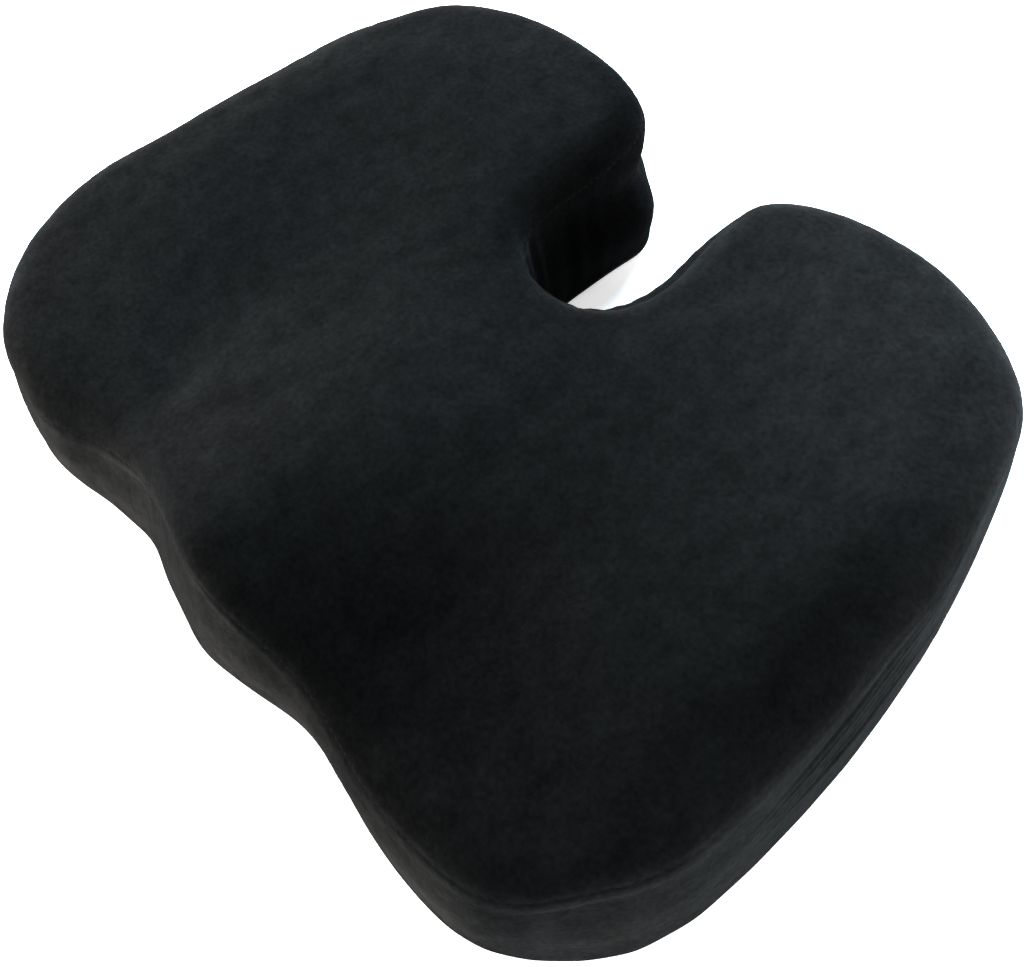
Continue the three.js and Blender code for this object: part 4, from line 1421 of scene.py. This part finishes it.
def satin():
    """White satin of the blank label."""
    n = Nodes("label_satin")
    n.paint(n.noise(120, 3), "Fac", [(0.3, (0.33, 0.33, 0.32)), (0.7, (0.40, 0.40, 0.39))])
    n.relief(n.wave(900, "Y", Distortion=0.3), "Fac", 0.3, 0.0002)
    n.set(Roughness=0.42, Specular_IOR_Level=0.5)
    return n.material


LOOKS = {
    "velour": velour("velour_top", 0.0029, 0.0235, False),
    "velour_band": velour("velour_band", 0.0030, 0.0240, True),
    "base_cloth": base_cloth(),
    "foam": foam(),
    "grip_dots": silicone(),
    "zip_tape": zip_tape(),
    "zip_coil": nylon(),
    "zip_metal": painted_metal(),
    "thread": thread(),
    "label_satin": satin(),
}


def dress(obj, slot, look=None):
    """Gives a piece of the cushion its material and its slot."""
    obj.data.materials.clear()
    obj.data.materials.append(LOOKS[look or slot])
    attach(obj, "cushion")


dress(top_panel, "velour")
for piece in (side_band, cutout_band):
    dress(piece, "velour", "velour_band")
for piece in (bottom_front, bottom_rear):
    dress(piece, "base_cloth")
dress(foam_core, "foam")
for piece in dots:
    dress(piece, "grip_dots")
for piece in stitch_pieces:
    dress(piece, "thread")
for piece in coils:
    dress(piece, "zip_coil")
dress(label, "label_satin")


BEVEL_ANGLE = 35  # degrees: a sharper edge is rounded off


def finish_cad(node, slot, edge):
    """Keeps a CAD node, with its own material and softened edges."""
    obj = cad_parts[node]
    obj.data.materials.clear()
    obj.data.materials.append(LOOKS[slot])
    weld = obj.modifiers.new("weld", "WELD")
    weld.merge_threshold = 0.005 * MM
    bevel = obj.modifiers.new("edges", "BEVEL")
    bevel.width = edge
    bevel.segments = 3
    bevel.limit_method = "ANGLE"
    bevel.angle_limit = math.radians(BEVEL_ANGLE)
    bevel.harden_normals = False


for node in ("zip_tape_front", "zip_tape_rear"):
    finish_cad(node, "zip_tape", 0.15 * MM)
for node in ("zip_stop_closed_end", "zip_stop_open_end"):
    finish_cad(node, "zip_metal", 0.4 * MM)
for node in ("zip_slider", "zip_pull"):
    finish_cad(node, "zip_metal", 0.22 * MM)

# ---- stage, light and camera

FLOOR_HALF = 6.0
FLOOR_BELOW = 0.2 * MM


def floor():
    """Plain pale floor that glows a little, so that it stays white close to the cushion."""
    n = Nodes("studio_floor")
    n.paint(n.noise(3, 2), "Fac", [(0.3, (0.90, 0.90, 0.90)), (0.7, (0.93, 0.93, 0.93))])
    n.set(Roughness=0.85, Specular_IOR_Level=0.1, Emission_Strength=0.55)
    n.shader.inputs["Emission Color"].default_value = (1, 1, 1, 1)
    signs = ((-1, -1), (1, -1), (1, 1), (-1, 1))
    corners = [(x * FLOOR_HALF, y * FLOOR_HALF, 0) for x, y in signs]
    made = new_object("studio_floor", corners, [(0, 1, 2, 3)])
    made.location.z = -FLOOR_BELOW
    made.data.materials.append(n.material)


def world_light():
    world = bpy.data.worlds.new("studio")
    bpy.context.scene.world = world
    world.use_nodes = True
    background = world.node_tree.nodes["Background"]
    background.inputs["Color"].default_value = (1.0, 1.0, 1.0, 1)
    background.inputs["Strength"].default_value = 0.6


LIGHT_DISTANCE = 1.6
LIGHT_SIZE = 0.9
LIGHTS = [
    {"name": "rear_left", "azimuth": 120, "elevation": 35, "power": 92, "colour": (0.72, 1.04, 1.24)},
    {"name": "low_right", "azimuth": 27, "elevation": 12, "power": 58, "colour": (1.0, 1.0, 1.0)},
    {"name": "low_left", "azimuth": 210, "elevation": 12, "power": 112, "colour": (1.09, 1.0, 0.92)},
    {"name": "low_front", "azimuth": 300, "elevation": 12, "power": 22, "colour": (0.7, 1.05, 1.2)},
]


def studio_light(name, azimuth, elevation, power, colour):
    """A disc light aimed at the cushion. azimuth is counter-clockwise from +X, in degrees."""
    light = bpy.data.lights.new(name, "AREA")
    light.shape = "DISK"
    light.size = LIGHT_SIZE
    light.energy = power
    light.color = colour
    a, e = math.radians(azimuth), math.radians(elevation)
    made = bpy.data.objects.new(name, light)
    bpy.context.scene.collection.objects.link(made)
    away = Vector((math.cos(a) * math.cos(e), math.sin(a) * math.cos(e), math.sin(e)))
    made.location = away * LIGHT_DISTANCE
    made.rotation_euler = (-made.location).to_track_quat("-Z", "Y").to_euler()


CAMERA_AIM = Vector((0, 0, 0.030))
CAMERA_AZIMUTH = math.radians(54.69)
CAMERA_ELEVATION = math.radians(54.63)
CAMERA_ROLL = math.radians(-7.71)
CAMERA_DISTANCE = 0.5744
CAMERA_LENS = 42.73
CAMERA_SHIFT = (0.0241, -0.0858)


def camera():
    """The camera, looking down at the cushion's right front corner (+X, -Y)."""
    a, e, r = CAMERA_AZIMUTH, CAMERA_ELEVATION, CAMERA_ROLL
    back = Vector((math.sin(a) * math.cos(e), -math.cos(a) * math.cos(e), math.sin(e)))
    level = Vector((math.cos(a), math.sin(a), 0))
    rise = back.cross(level)
    right = math.cos(r) * level + math.sin(r) * rise
    up = -math.sin(r) * level + math.cos(r) * rise
    data = bpy.data.cameras.new("camera")
    data.lens = CAMERA_LENS
    data.sensor_width = 36
    data.shift_x, data.shift_y = CAMERA_SHIFT
    data.clip_start, data.clip_end = 0.05, 50
    made = bpy.data.objects.new("camera", data)
    bpy.context.scene.collection.objects.link(made)
    turned = Matrix((right, up, back)).transposed()
    made.matrix_world = Matrix.Translation(CAMERA_AIM + back * CAMERA_DISTANCE) @ turned.to_4x4()
    bpy.context.scene.camera = made


floor()
world_light()
for light in LIGHTS:
    studio_light(**light)
camera()
bpy.context.scene.view_settings.view_transform = "Standard"
